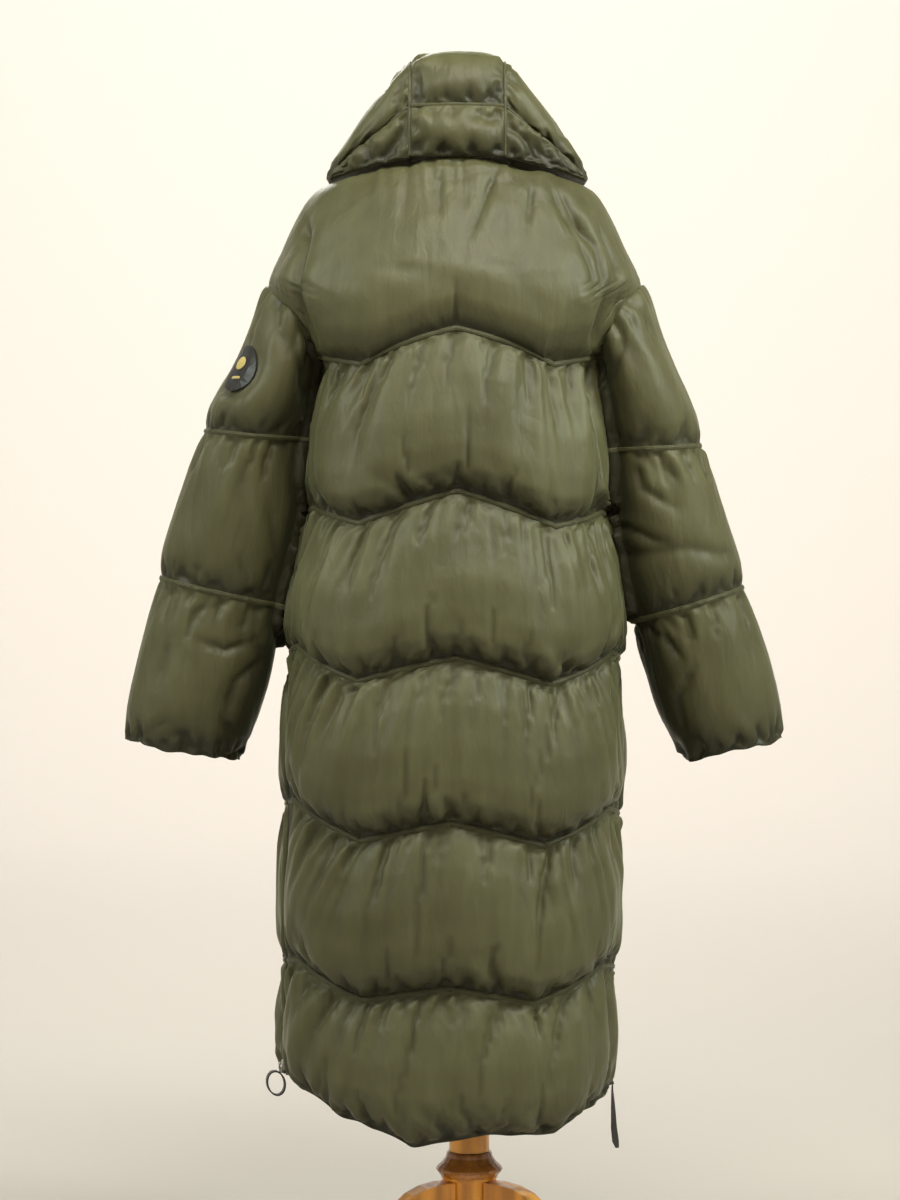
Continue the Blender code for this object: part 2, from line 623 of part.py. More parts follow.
def make_yoke(look):
    """The top tiers, from the highest chevron seam past the armholes to the neck."""
    turns = spread((-90.0, *back_turns(TOP_SEAM), 90.0), BACK_SPANS)
    quilt("back_tier_1", yoke_places(turns, True), len(turns), 1, YOKE_ROWS, YOKE_INNER_ROWS,
          YOKE_PAD, look)
    edge = front_edge(seam_value(TOP_SEAM, "front"), ZIP_HALF + GAP)
    turns = spread((90.0, *FRONT_TURNS, edge), FRONT_SPANS)
    for sign, label in ((-1, "left"), (1, "right")):
        quilt(f"front_{label}_tier_1", yoke_places(turns, False, sign), len(turns), 1, YOKE_ROWS,
              YOKE_INNER_ROWS, YOKE_PAD, look)


# ---------------------------------------------------------------- sleeves
def sleeve_ring(table, sign, phi, place):
    """Inside of the sleeve away from the armhole; phi 0 is its outer side, 90 its back."""
    turn = math.radians(phi)
    lean = math.radians(read(table, SLEEVE_COLUMNS, place, "lean"))
    middle = Vector((sign * read(table, SLEEVE_COLUMNS, place, "out"),
                     read(table, SLEEVE_COLUMNS, place, "forward"),
                     read(table, SLEEVE_COLUMNS, place, "height")))
    across = Vector((sign * math.cos(lean), 0.0, math.sin(lean)))
    wide = read(table, SLEEVE_COLUMNS, place, "half_width") * math.cos(turn)
    deep = read(table, SLEEVE_COLUMNS, place, "half_depth") * math.sin(turn)
    return middle + across * wide + Vector((0.0, -deep, 0.0))


def arm_ring(sign, phi):
    """The armhole's oval, lifted off the outside of the body."""
    turn = math.radians(phi)
    run = (ARM_LOW + ARM_TOP) / 2 + (ARM_TOP - ARM_LOW) / 2 * math.cos(turn)
    deg = sign * (90.0 - ARM_SPREAD * math.sin(turn))
    lift = SEAM_WALL + SLEEVE_CLEAR + ARMPIT_CLEAR * max(0.0, -math.cos(turn))
    return body(deg, run) + body_facing(deg, run) * lift


def sleeve(table, sign, phi, place):
    ring = sleeve_ring(table, sign, phi, place)
    if place >= SLEEVE_HEAD:
        return ring
    return arm_ring(sign, phi).lerp(ring, smooth(place / SLEEVE_HEAD))


def sleeve_facing(table, sign, phi, place):
    """Outward direction, held off the armhole's edge where the surface turns sharply."""
    held = max(place, SLEEVE_FACE_FROM)
    return facing(lambda a, b: sleeve(table, sign, a, b), phi, held, 2.0, 0.03) * sign


def sleeve_outside(name, table, sign, phi, place, row, column):
    """The sleeve's outside; its padding is thin where it lies against the body."""
    start, end = SLEEVE_FREE
    inner_side = max(0.0, -math.cos(math.radians(phi))) * (1.0 - smooth((place - start) / (end - start)))
    puff = SLEEVE_PUFF * (1.0 - SLEEVE_THIN * inner_side) * straight(TIER_PAD, row)
    drawn_in = SLEEVE_GATHER * gather(column, int(place), row)
    puff = max(0.0, puff - drawn_in * (1.0 - inner_side))
    return padded(name, sleeve(table, sign, phi, place), sleeve_facing(table, sign, phi, place), puff)


def make_sleeves(look):
    columns = [360.0 * k / SLEEVE_COLS for k in range(SLEEVE_COLS)]
    for sign, label, table in ((-1, "left", SLEEVE_LEFT), (1, "right", SLEEVE_RIGHT)):
        for number in range(SLEEVE_TIERS):
            name = f"sleeve_{label}_tier_{number + 1}"

            def point(column, row, side, name=name, number=number, sign=sign, table=table):
                phi = columns[column]
                place = number + 1.0 - SLEEVE_KEEP + (2.0 * SLEEVE_KEEP - 1.0) * row
                if not side:
                    return sleeve(table, sign, phi, place)
                return sleeve_outside(name, table, sign, phi, place, row, column)

            wall(name, range(SLEEVE_COLS), SLEEVE_ROWS, SLEEVE_INNER_ROWS if number else SLEEVE_ROWS,
                 point, look, closed=True)


def make_badge(look):
    """A bare round patch on the left sleeve, made from the sleeve's own outside."""
    sleeve_mesh = bpy.data.objects["sleeve_left_tier_1"].data
    tree = BVHTree.FromPolygons([v.co for v in sleeve_mesh.vertices],
                                [p.vertices for p in sleeve_mesh.polygons])
    place = sleeve(SLEEVE_LEFT, -1, BADGE_TURN, BADGE_PLACE)
    out = sleeve_facing(SLEEVE_LEFT, -1, BADGE_TURN, BADGE_PLACE)
    down = (sleeve(SLEEVE_LEFT, -1, BADGE_TURN, BADGE_PLACE + 0.1) - place).normalized()
    across = down.cross(out).normalized()

    def on_sleeve(radius, turn):
        start = place + out * BADGE_SIGHT + (across * math.cos(turn) + down * math.sin(turn)) * radius
        return tree.ray_cast(start, -out)[0]

    bm = bmesh.new()
    sheets = []
    for lift in (BADGE_LIFT, BADGE_LIFT + BADGE_WALL):
        middle = bm.verts.new(on_sleeve(0.0, 0.0) + out * lift)
        rings = []
        for ring in range(1, BADGE_RINGS + 1):
            radius = BADGE_RADIUS * ring / BADGE_RINGS
            rings.append([bm.verts.new(on_sleeve(radius, 2 * math.pi * k / BADGE_SIDES) + out * lift)
                          for k in range(BADGE_SIDES)])
        for k in range(BADGE_SIDES):
            bm.faces.new((middle, rings[0][k], rings[0][(k + 1) % BADGE_SIDES]))
        for low, high in zip(rings, rings[1:]):
            join_rows(bm, low, high, True)
        sheets.append(rings[-1])
    join_rows(bm, sheets[0], sheets[1], True)
    bmesh.ops.recalc_face_normals(bm, faces=bm.faces)
    mesh = bpy.data.meshes.new("sleeve_badge")
    bm.to_mesh(mesh)
    bm.free()
    finish("sleeve_badge", mesh, look)


# ---------------------------------------------------------------- hood
def strip_point(across, place):
    """Inside of the hood's centre strip; `across` runs from -1 (left) to 1 (right)."""
    y = read(STRIP, STRIP_COLUMNS, place, "y")
    z = read(STRIP, STRIP_COLUMNS, place, "z")
    bow = read(STRIP, STRIP_COLUMNS, place, "bow") * (1.0 - across * across)
    ahead, up = (read(STRIP, STRIP_COLUMNS, place + 0.01, name)
                 - read(STRIP, STRIP_COLUMNS, place - 0.01, name) for name in ("y", "z"))
    length = math.hypot(ahead, up)
    return Vector((across * STRIP_HALF, y - bow * up / length, z + bow * ahead / length))


def strip_facing(across, place):
    return facing(strip_point, across, place, 0.05, 0.01)


def foot_point(sign, place):
    return Vector((sign * read(FOOT, FOOT_COLUMNS, place, "x"),
                   read(FOOT, FOOT_COLUMNS, place, "y"), read(FOOT, FOOT_COLUMNS, place, "z")))


def swell(row):
    """Rise of a hood piece's padding from one edge (0) to the other (1)."""
    return math.sin(math.pi * row) ** 0.55 if 0.0 < row < 1.0 else 0.0


def slanting_seam(sign, along):
    """The seam from the centre strip's level seam down to the shoulder corner."""
    start = strip_point(sign * (1.0 + STRIP_KEEP / STRIP_HALF), STRIP_SEAM)
    corner = foot_point(sign, FOOT_CORNER) + Vector((0.0, 0.0, SIDE_LIFT))
    x, y, z = SIDE_BOW_WAY
    return start.lerp(corner, along) + Vector((sign * x, y, z)) * SIDE_BOW * math.sin(math.pi * along)


def hood_side_lower(sign, across, along):
    """Inside of a side panel between the yoke (across 0) and the slanting seam (1)."""
    return foot_point(sign, FOOT_CORNER * along).lerp(slanting_seam(sign, along), across)


def hood_side_upper(sign, across, along):
    """Inside of a side panel from the slanting seam and the brim to the centre strip."""
    inner = strip_point(sign * (1.0 + STRIP_KEEP / STRIP_HALF), STRIP_SEAM + (1.0 - STRIP_SEAM) * along)
    if along < SIDE_SLANT:
        outer = slanting_seam(sign, math.sqrt(smooth(along / SIDE_SLANT)))
    else:
        past = smooth((along - SIDE_SLANT) / (1.0 - SIDE_SLANT))
        outer = foot_point(sign, FOOT_CORNER + (1.0 - FOOT_CORNER) * past) + Vector((0.0, 0.0, SIDE_LIFT))
    x, y, z = SIDE_BELLY_WAY
    hollow = SIDE_BELLY * math.sin(math.pi * across) * smooth(along / SIDE_SLANT)
    return outer.lerp(inner, across) + Vector((sign * x, y, z)) * hollow


def make_hood(look):
    """Three centre pieces and two pieces to each side."""
    across = [-1.0 + 2.0 * k / STRIP_COLS for k in range(STRIP_COLS + 1)]
    for name, start, end, count in STRIP_PIECES:
        def point(column, row, side, start=start, end=end):
            place = start + STRIP_END + (end - start - 2 * STRIP_END) * row
            inside = strip_point(across[column], place)
            edge = 1.0 - abs(across[column]) ** STRIP_EDGE_POWER
            thick = (SEAM_WALL + HOOD_PUFF * edge * swell(row)) * side
            return inside + strip_facing(across[column], place) * thick

        rows = [k / count for k in range(count + 1)]
        inner_rows = rows[::2] if count % 2 == 0 else rows[::2] + [1.0]
        wall(name, range(len(across)), rows, inner_rows, point, look)
    pieces = (("lower", hood_side_lower, SIDE_LOWER_COLS, SIDE_END, SIDE_END),
              ("upper", hood_side_upper, SIDE_UPPER_COLS, 0.0, STRIP_SIDE_END))
    for sign, label in ((-1, "left"), (1, "right")):
        for name, panel, count, front_end, top_end in pieces:
            def point(column, row, side, sign=sign, panel=panel, count=count, front_end=front_end,
                      top_end=top_end):
                share = column / count
                along = min(max(share, SIDE_END), 1.0 - front_end)
                held = SIDE_END + (1.0 - SIDE_END - top_end) * row
                out = facing(lambda a, b: panel(sign, a, b), held, along, 0.01, 0.01) * -sign
                ends = min(1.0, share * SIDE_TAPER, (1.0 - share) * SIDE_TAPER)
                thick = (SEAM_WALL + HOOD_PUFF * swell(row) * ends) * side
                return panel(sign, held, along) + out * thick

            wall(f"hood_side_{label}_{name}", range(count + 1), HOOD_ROWS, HOOD_INNER_ROWS, point, look)


# ---------------------------------------------------------------- zips
def make_zip(name, edges, low, high, rows, look):
    """A zip's chain and tape as a strip on the body, between two angles at each height."""
    def point(column, row, side):
        run = low + (high - low) * row
        deg = edges(run)[column]
        inside = body(deg, run)
        return inside + body_facing(deg, run) * ZIP_WALL * side

    steps = [k / rows for k in range(rows + 1)]
    wall(name, range(2), steps, steps, point, look)


def make_zips(look):
    for label, deg, sign in (("left", SIDE_SEAM_LEFT, -1), ("right", SIDE_SEAM_RIGHT, 1)):
        def edges(run, sign=sign):
            middle, half = side_seam(sign, run), degrees_across(run, ZIP_HALF)
            return middle - half, middle + half

        make_zip(f"side_zip_{label}", edges, seam_height(0, deg) + ZIP_END,
                 seam_height(ZIP_SEAM, deg) - ZIP_END, SIDE_ZIP_ROWS, look)

    def front(run):
        edge = front_edge(run, ZIP_HALF)
        return edge, 360.0 - edge

    make_zip("front_zip", front, seam_value(0, "front") + ZIP_END, NECK_RUN - ZIP_NECK_END,
             FRONT_ZIP_ROWS, look)


def frame_on(deg, run):
    """A frame on the zip: across it, up along it and outwards."""
    out = body_facing(deg, run)
    up = body(deg, run + 0.004) - body(deg, run - 0.004)
    up = (up - out * up.dot(out)).normalized()
    across = up.cross(out)
    axes = Matrix((across, up, out)).transposed().to_4x4()
    return Matrix.Translation(body(deg, run) + out * (ZIP_WALL + GAP)) @ axes


def ring_mesh(radius, wire):
    """A wire ring about its own Z axis."""
    bm = bmesh.new()
    loops = []
    for k in range(RING_STEPS):
        turn = 2 * math.pi * k / RING_STEPS
        loop = []
        for j in range(WIRE_STEPS):
            tilt = 2 * math.pi * j / WIRE_STEPS
            away = radius + wire * math.cos(tilt)
            loop.append(bm.verts.new((away * math.cos(turn), away * math.sin(turn),
                                      wire * math.sin(tilt))))
        loops.append(loop)
    for low, high in zip(loops, loops[1:] + loops[:1]):
        join_rows(bm, low, high, True)
    bmesh.ops.recalc_face_normals(bm, faces=bm.faces)
    mesh = bpy.data.meshes.new("ring")
    bm.to_mesh(mesh)
    bm.free()
    return mesh


def make_slider(label, frame, look):
    """A slider body with the half ring that holds its pull standing on its face."""
    wide, tall, deep = SLIDER_SIZE
    bm = bmesh.new()
    bmesh.ops.create_cube(bm, size=1.0)
    for vert in bm.verts:
        vert.co = Vector((vert.co.x * wide, vert.co.y * tall, (vert.co.z + 0.5) * deep))
    mesh = bpy.data.meshes.new(f"{label}_slider")
    bm.to_mesh(mesh)
    bm.free()
    made = finish(f"{label}_slider", mesh, look)
    made.matrix_world = frame
    rounded = made.modifiers.new("rounded", "BEVEL")
    rounded.width = SLIDER_BEVEL
    rounded.segments = 1
    bridge = bpy.data.objects.new(f"{label}_bridge_tool", ring_mesh(BRIDGE_RADIUS, BRIDGE_WIRE))
    tools.objects.link(bridge)
    bridge.matrix_world = (frame @ Matrix.Translation((0.0, 0.0, deep))
                           @ Matrix.Rotation(math.pi / 2, 4, "Y"))
    bridge.hide_render = True
    bridge.display_type = "WIRE"
    joined = made.modifiers.new("bridge", "BOOLEAN")
    joined.operation = "UNION"
    joined.object = bridge


def pull_frame(frame):
    """The pull's hinge: through the bridge's hole, across the zip."""
    hole = SLIDER_SIZE[2] + (BRIDGE_RADIUS - BRIDGE_WIRE) / 2
    return frame @ Matrix.Translation((0.0, 0.0, hole))


def make_link(label, frame, look):
    made = finish(f"{label}_pull_link", ring_mesh(LINK_RADIUS, LINK_WIRE), look)
    made.matrix_world = pull_frame(frame) @ Matrix.Translation((0.0, -LINK_RADIUS, 0.0))


def strap_start():
    return 2 * LINK_RADIUS + LINK_WIRE + GAP


def make_strap(label, frame, rows, look):
    """A flat strap hanging from the link, tapered to its end."""
    bm = bmesh.new()
    loops = []
    for down, out, half, twist in rows:
        turn = math.radians(twist)
        wide = Vector((math.cos(turn), 0.0, math.sin(turn))) * half
        thick = Vector((-math.sin(turn), 0.0, math.cos(turn))) * STRAP_WALL / 2
        middle = Vector((0.0, -strap_start() - down, out))
        loops.append([bm.verts.new(middle + wide * a + thick * b)
                      for a, b in ((-1, -1), (1, -1), (1, 1), (-1, 1))])
    for low, high in zip(loops, loops[1:]):
        join_rows(bm, low, high, True)
    bm.faces.new(loops[0])
    bm.faces.new(loops[-1])
    bmesh.ops.recalc_face_normals(bm, faces=bm.faces)
    mesh = bpy.data.meshes.new(f"{label}_pull_strap")
    bm.to_mesh(mesh)
    bm.free()
    made = finish(f"{label}_pull_strap", mesh, look)
    made.matrix_world = pull_frame(frame)


def make_curl(label, frame, look):
    """A strap curled round into a standing ring, its flat side facing the ring's middle."""
    lean = Matrix.Rotation(math.radians(-CURL_LEAN), 3, "X")

    def loop_point(turn, shrink):
        return lean @ Vector((0.0, (CURL_HALF_TALL - shrink) * math.cos(turn),
                              (CURL_HALF_WIDE - shrink) * math.sin(turn)))

    middle = Vector((0.0, -strap_start(), 0.0)) - loop_point(math.radians(CURL_HELD), 0.0)

    def point(column, row, side):
        shrink = 0.0 if side else STRAP_WALL
        along = Vector(((row - 0.5) * CURL_BAND, 0.0, 0.0))
        return middle + along + loop_point(2 * math.pi * column / CURL_STEPS, shrink)

    made = wall(f"{label}_pull_strap", range(CURL_STEPS), (0.0, 1.0), (0.0, 1.0), point, look,
                closed=True)
    made.matrix_world = pull_frame(frame)


def make_pulls(metal, strap_look):
    """Sliders stay where they are; each link and strap swings on its slider's bridge."""
    low_left = seam_height(0, SIDE_SEAM_LEFT) + SLIDER_ABOVE_HEM
    low_right = seam_height(0, SIDE_SEAM_RIGHT) + SLIDER_ABOVE_HEM
    places = (("left_zip", side_seam(-1, low_left), low_left),
              ("right_zip", side_seam(1, low_right), low_right),
              ("front_zip", 180.0, NECK_RUN - SLIDER_BELOW_NECK))
    for label, deg, run in places:
        frame = frame_on(deg, run)
        make_slider(label, frame, metal)
        make_link(label, frame, metal)
        if label == "left_zip":
            make_curl(label, frame, strap_look)
        else:
            make_strap(label, frame, STRAP_LONG if label == "right_zip" else STRAP_SHORT, strap_look)


# ---------------------------------------------------------------- dress form and stand
def make_form(look):
    """Torso and neck in one smooth solid, its shoulders just under the coat's inside."""
    rings = []
    for table in (FORM, FORM_NECK):
        for height, half, back, front, centre in table:
            ring = []
            for k in range(FORM_COLS):
                turn = 2 * math.pi * k / FORM_COLS
                depth = back if math.cos(turn) > 0 else front
                ring.append(Vector((centre + half * signed_power(math.sin(turn), SQUARENESS),
                                    -depth * signed_power(math.cos(turn), SQUARENESS), height)))
            rings.append(ring)
        if table is FORM:
            for run in FORM_SHOULDER_RUNS:
                ring = []
                for k in range(FORM_COLS):
                    deg = 360.0 * k / FORM_COLS
                    deg = deg if deg <= 180.0 else deg - 360.0
                    ring.append(body(deg, run) - body_facing(deg, run) * FORM_REST)
                rings.append(ring)
    bm = bmesh.new()
    levels = [[bm.verts.new(place) for place in ring] for ring in rings]
    for low, high in zip(levels, levels[1:]):
        join_rows(bm, low, high, True)
    bm.faces.new(levels[0])
    bm.faces.new(levels[-1])
    bmesh.ops.recalc_face_normals(bm, faces=bm.faces)
    mesh = bpy.data.meshes.new("form_torso")
    bm.to_mesh(mesh)
    bm.free()
    finish("form_torso", mesh, look)


def turned(name, profile, look):
    """A solid of revolution about the stand's axis from an outer profile, top to bottom."""
    bm = bmesh.new()
    points = [(0.0, profile[0][1])] + list(profile) + [(0.0, profile[-1][1])]
    verts = [bm.verts.new((radius, 0.0, height)) for radius, height in points]
    for a, b in zip(verts, verts[1:]):
        bm.edges.new((a, b))
    mesh = bpy.data.meshes.new(name)
    bm.to_mesh(mesh)
    bm.free()
    made = finish(name, mesh, look)
    made.location = (STAND_X, STAND_Y, 0.0)
    screw = made.modifiers.new("turned", "SCREW")
    screw.steps = screw.render_steps = STAND_FACETS
    screw.use_merge_vertices = True
    screw.merge_threshold = 0.00005
    screw.use_smooth_shade = True
    return made


def make_leg(number, look):
    """A flat cabriole leg, cut from a board, standing out from the hub."""
    turn = math.radians(LEG_FIRST_TURN + 360.0 * number / LEG_COUNT)
    curve = bpy.data.curves.new(f"leg_outline_{number}", "CURVE")
    curve.dimensions = "2D"
    curve.fill_mode = "BOTH"
    curve.extrude = LEG_THICK / 2
    line = curve.splines.new("POLY")
    outline = LEG_UPPER + LEG_UNDER
    line.points.add(len(outline) - 1)
    for point, (along, up) in zip(line.points, outline):
        point.co = (along, up, 0.0, 1.0)
    line.use_cyclic_u = True
    made = bpy.data.objects.new(f"stand_leg_{number + 1}", curve)
    made.location = (STAND_X, STAND_Y, 0.0)
    made.rotation_euler = (math.pi / 2, 0.0, turn)
    curve.materials.append(look)
    parts.objects.link(made)


def make_stand(light, dark):
    turned("stand_column", COLUMN, light)
    turned("stand_collar", COLLAR, dark)
    turned("stand_hub", HUB, light)
    for number in range(LEG_COUNT):
        make_leg(number, light)


# ---------------------------------------------------------------- build
clear_scene()
parts = bpy.data.collections.new(COAT)
tools = bpy.data.collections.new("tools")
bpy.context.scene.collection.children.link(parts)
bpy.context.scene.collection.children.link(tools)

olive = material("olive_nylon", (0.110, 0.107, 0.050), 0.42)
black_tape = material("black_tape", (0.020, 0.020, 0.018), 0.6)
black_strap = material("black_strap", (0.015, 0.014, 0.014), 0.5)
steel = material("nickel", (0.55, 0.53, 0.50), 0.3, 1.0)
badge_rubber = material("badge_rubber", (0.012, 0.012, 0.012), 0.45)
form_cloth = material("cream_jersey", (0.62, 0.55, 0.44), 0.9)
wood = material("beech_wood", (0.36, 0.17, 0.05), 0.45)
dark_wood = material("stained_wood", (0.09, 0.035, 0.012), 0.4)

make_tiers(olive)
make_yoke(olive)
make_sleeves(olive)
make_badge(badge_rubber)
make_hood(olive)
make_zips(black_tape)
make_pulls(steel, black_strap)
make_form(form_cloth)
make_stand(wood, dark_wood)
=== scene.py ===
"""Looks of the long puffer coat: quilted cloth, sewing, zips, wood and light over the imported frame."""
import math

import bmesh
import bpy
import numpy as np
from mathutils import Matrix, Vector
from mathutils.bvhtree import BVHTree


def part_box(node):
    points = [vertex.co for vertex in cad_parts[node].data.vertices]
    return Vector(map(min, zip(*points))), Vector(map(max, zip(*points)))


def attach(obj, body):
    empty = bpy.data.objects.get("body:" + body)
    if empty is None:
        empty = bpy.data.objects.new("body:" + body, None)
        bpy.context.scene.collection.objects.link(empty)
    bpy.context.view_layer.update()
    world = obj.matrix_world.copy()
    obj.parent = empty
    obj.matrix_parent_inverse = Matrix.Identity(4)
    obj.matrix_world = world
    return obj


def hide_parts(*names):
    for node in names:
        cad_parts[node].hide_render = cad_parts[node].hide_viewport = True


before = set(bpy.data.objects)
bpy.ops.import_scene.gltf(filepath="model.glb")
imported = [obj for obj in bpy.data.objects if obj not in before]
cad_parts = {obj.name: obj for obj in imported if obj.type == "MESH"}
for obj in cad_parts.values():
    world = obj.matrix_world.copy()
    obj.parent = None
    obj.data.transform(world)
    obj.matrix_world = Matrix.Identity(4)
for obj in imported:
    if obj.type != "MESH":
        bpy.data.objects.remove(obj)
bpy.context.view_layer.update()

# ---------------------------------------------------------------- the coat's sizes, as in its source
GAP = 0.0003
SEAM_WALL = 0.0040
BACK_PUFF, FRONT_PUFF, SIDE_PUFF = 0.0230, 0.0170, 0.0100
EDGE_RISE = 0.018
SQUARENESS = 0.90
BODY_COLUMNS = ("run", "side_z", "back_z", "front_z", "half_width", "back", "front", "centre_x")
BODY = (
    (0.200, 0.200, 0.200, 0.200, 0.197, 0.160, 0.152, -0.017),
    (0.300, 0.300, 0.300, 0.300, 0.200, 0.164, 0.156, -0.015),
    (0.450, 0.450, 0.450, 0.450, 0.202, 0.167, 0.159, -0.010),
    (0.650, 0.650, 0.650, 0.650, 0.204, 0.167, 0.159, -0.006),
    (0.850, 0.850, 0.850, 0.850, 0.200, 0.165, 0.156, -0.003),
    (1.000, 1.000, 1.000, 1.000, 0.182, 0.158, 0.149, 0.000),
    (1.100, 1.100, 1.100, 1.100, 0.172, 0.152, 0.144, 0.000),
    (1.180, 1.180, 1.180, 1.180, 0.167, 0.148, 0.141, 0.000),
    (1.205, 1.205, 1.205, 1.205, 0.188, 0.146, 0.139, -0.001),
    (1.240, 1.240, 1.240, 1.240, 0.211, 0.142, 0.136, -0.002),
    (1.280, 1.280, 1.280, 1.275, 0.223, 0.136, 0.131, -0.003),
    (1.325, 1.325, 1.325, 1.310, 0.205, 0.125, 0.122, -0.004),
    (1.370, 1.370, 1.370, 1.335, 0.184, 0.110, 0.110, -0.004),
    (1.400, 1.393, 1.394, 1.346, 0.167, 0.102, 0.102, -0.003),
    (1.430, 1.405, 1.410, 1.353, 0.139, 0.097, 0.095, -0.002),
    (1.460, 1.413, 1.422, 1.358, 0.105, 0.093, 0.090, -0.001),
    (1.485, 1.420, 1.433, 1.362, 0.078, 0.089, 0.086, 0.000),
)
NECK_RUN = 1.485
SEAM_COLUMNS = ("centre", "low", "peak", "front", "low_deg", "peak_deg", "tilt")
SEAMS = (
    (0.249, 0.256, 0.290, 0.290, 30.0, 60.0, 0.006),
    (0.430, 0.412, 0.449, 0.440, 28.0, 62.0, 0.004),
    (0.628, 0.602, 0.642, 0.632, 30.0, 66.0, 0.006),
    (0.826, 0.795, 0.832, 0.826, 32.0, 70.0, 0.004),
    (1.026, 0.985, 1.003, 1.018, 37.0, 72.0, 0.003),
    (1.222, 1.180, 1.194, 1.200, 41.0, 74.0, 0.000),
)
HEM = ((-180.0, 0.290), (-100.0, 0.302), (-70.0, 0.306), (-53.0, 0.298), (-38.0, 0.277),
       (-20.0, 0.259), (-9.0, 0.239), (1.0, 0.248), (17.0, 0.254), (38.0, 0.250),
       (53.0, 0.272), (86.0, 0.286), (120.0, 0.289), (180.0, 0.290))
TOP_SEAM = len(SEAMS) - 1
FRONT_TURNS = (104.4, 135.0, 165.6)
SIDE_SEAM_LEFT, SIDE_SEAM_RIGHT = -76.0, 86.0
SIDE_SEAM_TURN = (0.83, 1.18)
ZIP_SEAM = 3
ZIP_HALF, ZIP_WALL = 0.0050, 0.0030
ARM_LOW, ARM_TOP, ARM_SPREAD = 1.190, 1.280, 27.0
ARM_MIDDLE, ARM_HALF = (ARM_LOW + ARM_TOP) / 2, (ARM_TOP - ARM_LOW) / 2
YOKE_EDGE_START, YOKE_EDGE_POWER = 0.05, 6
SLEEVE_COLUMNS = ("place", "out", "forward", "height", "half_width", "half_depth", "lean")
SLEEVE_LEFT = (
    (0.0, 0.200, 0.000, 1.235, 0.056, 0.070, 54.0),
    (0.35, 0.2180, 0.000, 1.180, 0.038, 0.074, 30.0),
    (0.65, 0.2360, 0.001, 1.140, 0.046, 0.072, 12.0),
    (1.0, 0.2515, 0.003, 1.096, 0.0570, 0.068, 4.0),
    (1.5, 0.2680, 0.007, 1.000, 0.0665, 0.060, 9.0),
    (2.0, 0.2950, 0.012, 0.901, 0.0715, 0.056, 12.8),
    (2.5, 0.3195, 0.017, 0.802, 0.0665, 0.054, 13.0),
    (3.0, 0.3470, 0.022, 0.704, 0.0615, 0.052, 9.8),
)
SLEEVE_RIGHT = (
    (0.0, 0.198, 0.000, 1.235, 0.056, 0.070, 54.0),
    (0.35, 0.2150, 0.000, 1.180, 0.036, 0.074, 30.0),
    (0.65, 0.2310, 0.001, 1.135, 0.042, 0.072, 12.0),
    (1.0, 0.2425, 0.003, 1.080, 0.0550, 0.068, 2.0),
    (1.5, 0.2595, 0.007, 0.985, 0.0600, 0.062, 11.0),
    (2.0, 0.2900, 0.012, 0.886, 0.0640, 0.059, 17.0),
    (2.5, 0.3185, 0.017, 0.796, 0.0600, 0.057, 15.5),
    (3.0, 0.3480, 0.022, 0.7055, 0.0520, 0.057, 12.9),
)
SLEEVES = ((-1, SLEEVE_LEFT), (1, SLEEVE_RIGHT))
SLEEVE_PUFF = 0.0110
SLEEVE_CLEAR, ARMPIT_CLEAR = 0.0010, 0.0070
SLEEVE_HEAD, SLEEVE_FACE_FROM = 0.60, 0.06
STRIP_HALF = 0.0560
STRIP_COLUMNS = ("place", "y", "z", "bow")
STRIP = (
    (0.00, -0.0885, 1.4350, 0.004),
    (0.10, -0.0910, 1.4650, 0.007),
    (0.20, -0.0880, 1.4970, 0.006),
    (0.30, -0.0830, 1.5250, 0.005),
    (0.38, -0.0700, 1.5470, 0.003),
    (0.46, -0.0440, 1.5545, 0.001),
    (0.56, 0.0050, 1.5550, 0.001),
    (0.66, 0.0480, 1.5520, 0.001),
    (0.74, 0.0750, 1.5300, 0.004),
    (0.86, 0.1080, 1.4620, 0.007),
    (1.00, 0.1420, 1.3930, 0.006),
)
STRIP_KEEP = 0.0010
STRIP_EDGE = 1.0 + STRIP_KEEP / STRIP_HALF   # the side panels' edge, in units across the strip
STRIP_SEAM, STRIP_FOLD = 0.20, 0.62
FOOT_COLUMNS = ("place", "x", "y", "z")
FOOT = (
    (0.00, 0.0565, -0.0870, 1.4335),
    (0.08, 0.0860, -0.0820, 1.4280),
    (0.16, 0.1240, -0.0620, 1.4200),
    (0.24, 0.1560, -0.0300, 1.4120),
    (0.40, 0.1610, 0.0150, 1.4080),
    (0.60, 0.1480, 0.0720, 1.4000),
    (0.80, 0.1120, 0.1150, 1.3920),
    (1.00, 0.0720, 0.1380, 1.3910),
)
FOOT_CORNER = 0.24
SIDE_BOW, SIDE_BOW_WAY = 0.0020, (0.54, -0.64, 0.54)
SIDE_BELLY, SIDE_BELLY_WAY = -0.0050, (0.8, 0.0, 0.6)
SIDE_SLANT, SIDE_LIFT = 0.25, 0.0040

# ---------------------------------------------------------------- sizes of the finer work
# the grids of points
CLOTH_STEP = 0.0046         # spacing of the quilted cloth's points round the coat
CLOTH_RISE = 0.0068         # and up it
LEAST_ROWS = 8
BODY_PROBE, SLEEVE_PROBE = (1.5, 0.006), (2.0, 0.03)      # steps beside a place, for the way out there
STRIP_PROBE, PANEL_PROBE = (0.05, 0.01), (0.01, 0.01)
BODY_RADIUS = 0.19          # the body's plain radius, for counting columns
BODY_ROUND = 1.12           # the back's radius as a share of its depth
FRONT_END = 178.0           # where the columns of a front are counted to, in degrees
RELAX_REACH = 12            # rows lose the chevron's corners over this many columns
YOKE_HEIGHT, SLEEVE_TIER_HEIGHT = 0.262, 0.20
SLEEVE_ROUND, HOOD_COLUMNS = 80, 23       # columns round a sleeve and across the hood's strip
SLEEVE_KEEP = 0.0008        # what a sleeve's tier stays short of its seams, in tiers
HOOD_KEEP, SIDE_KEEP = 0.0015, 0.012      # the same for the hood's strip and panels, in their units
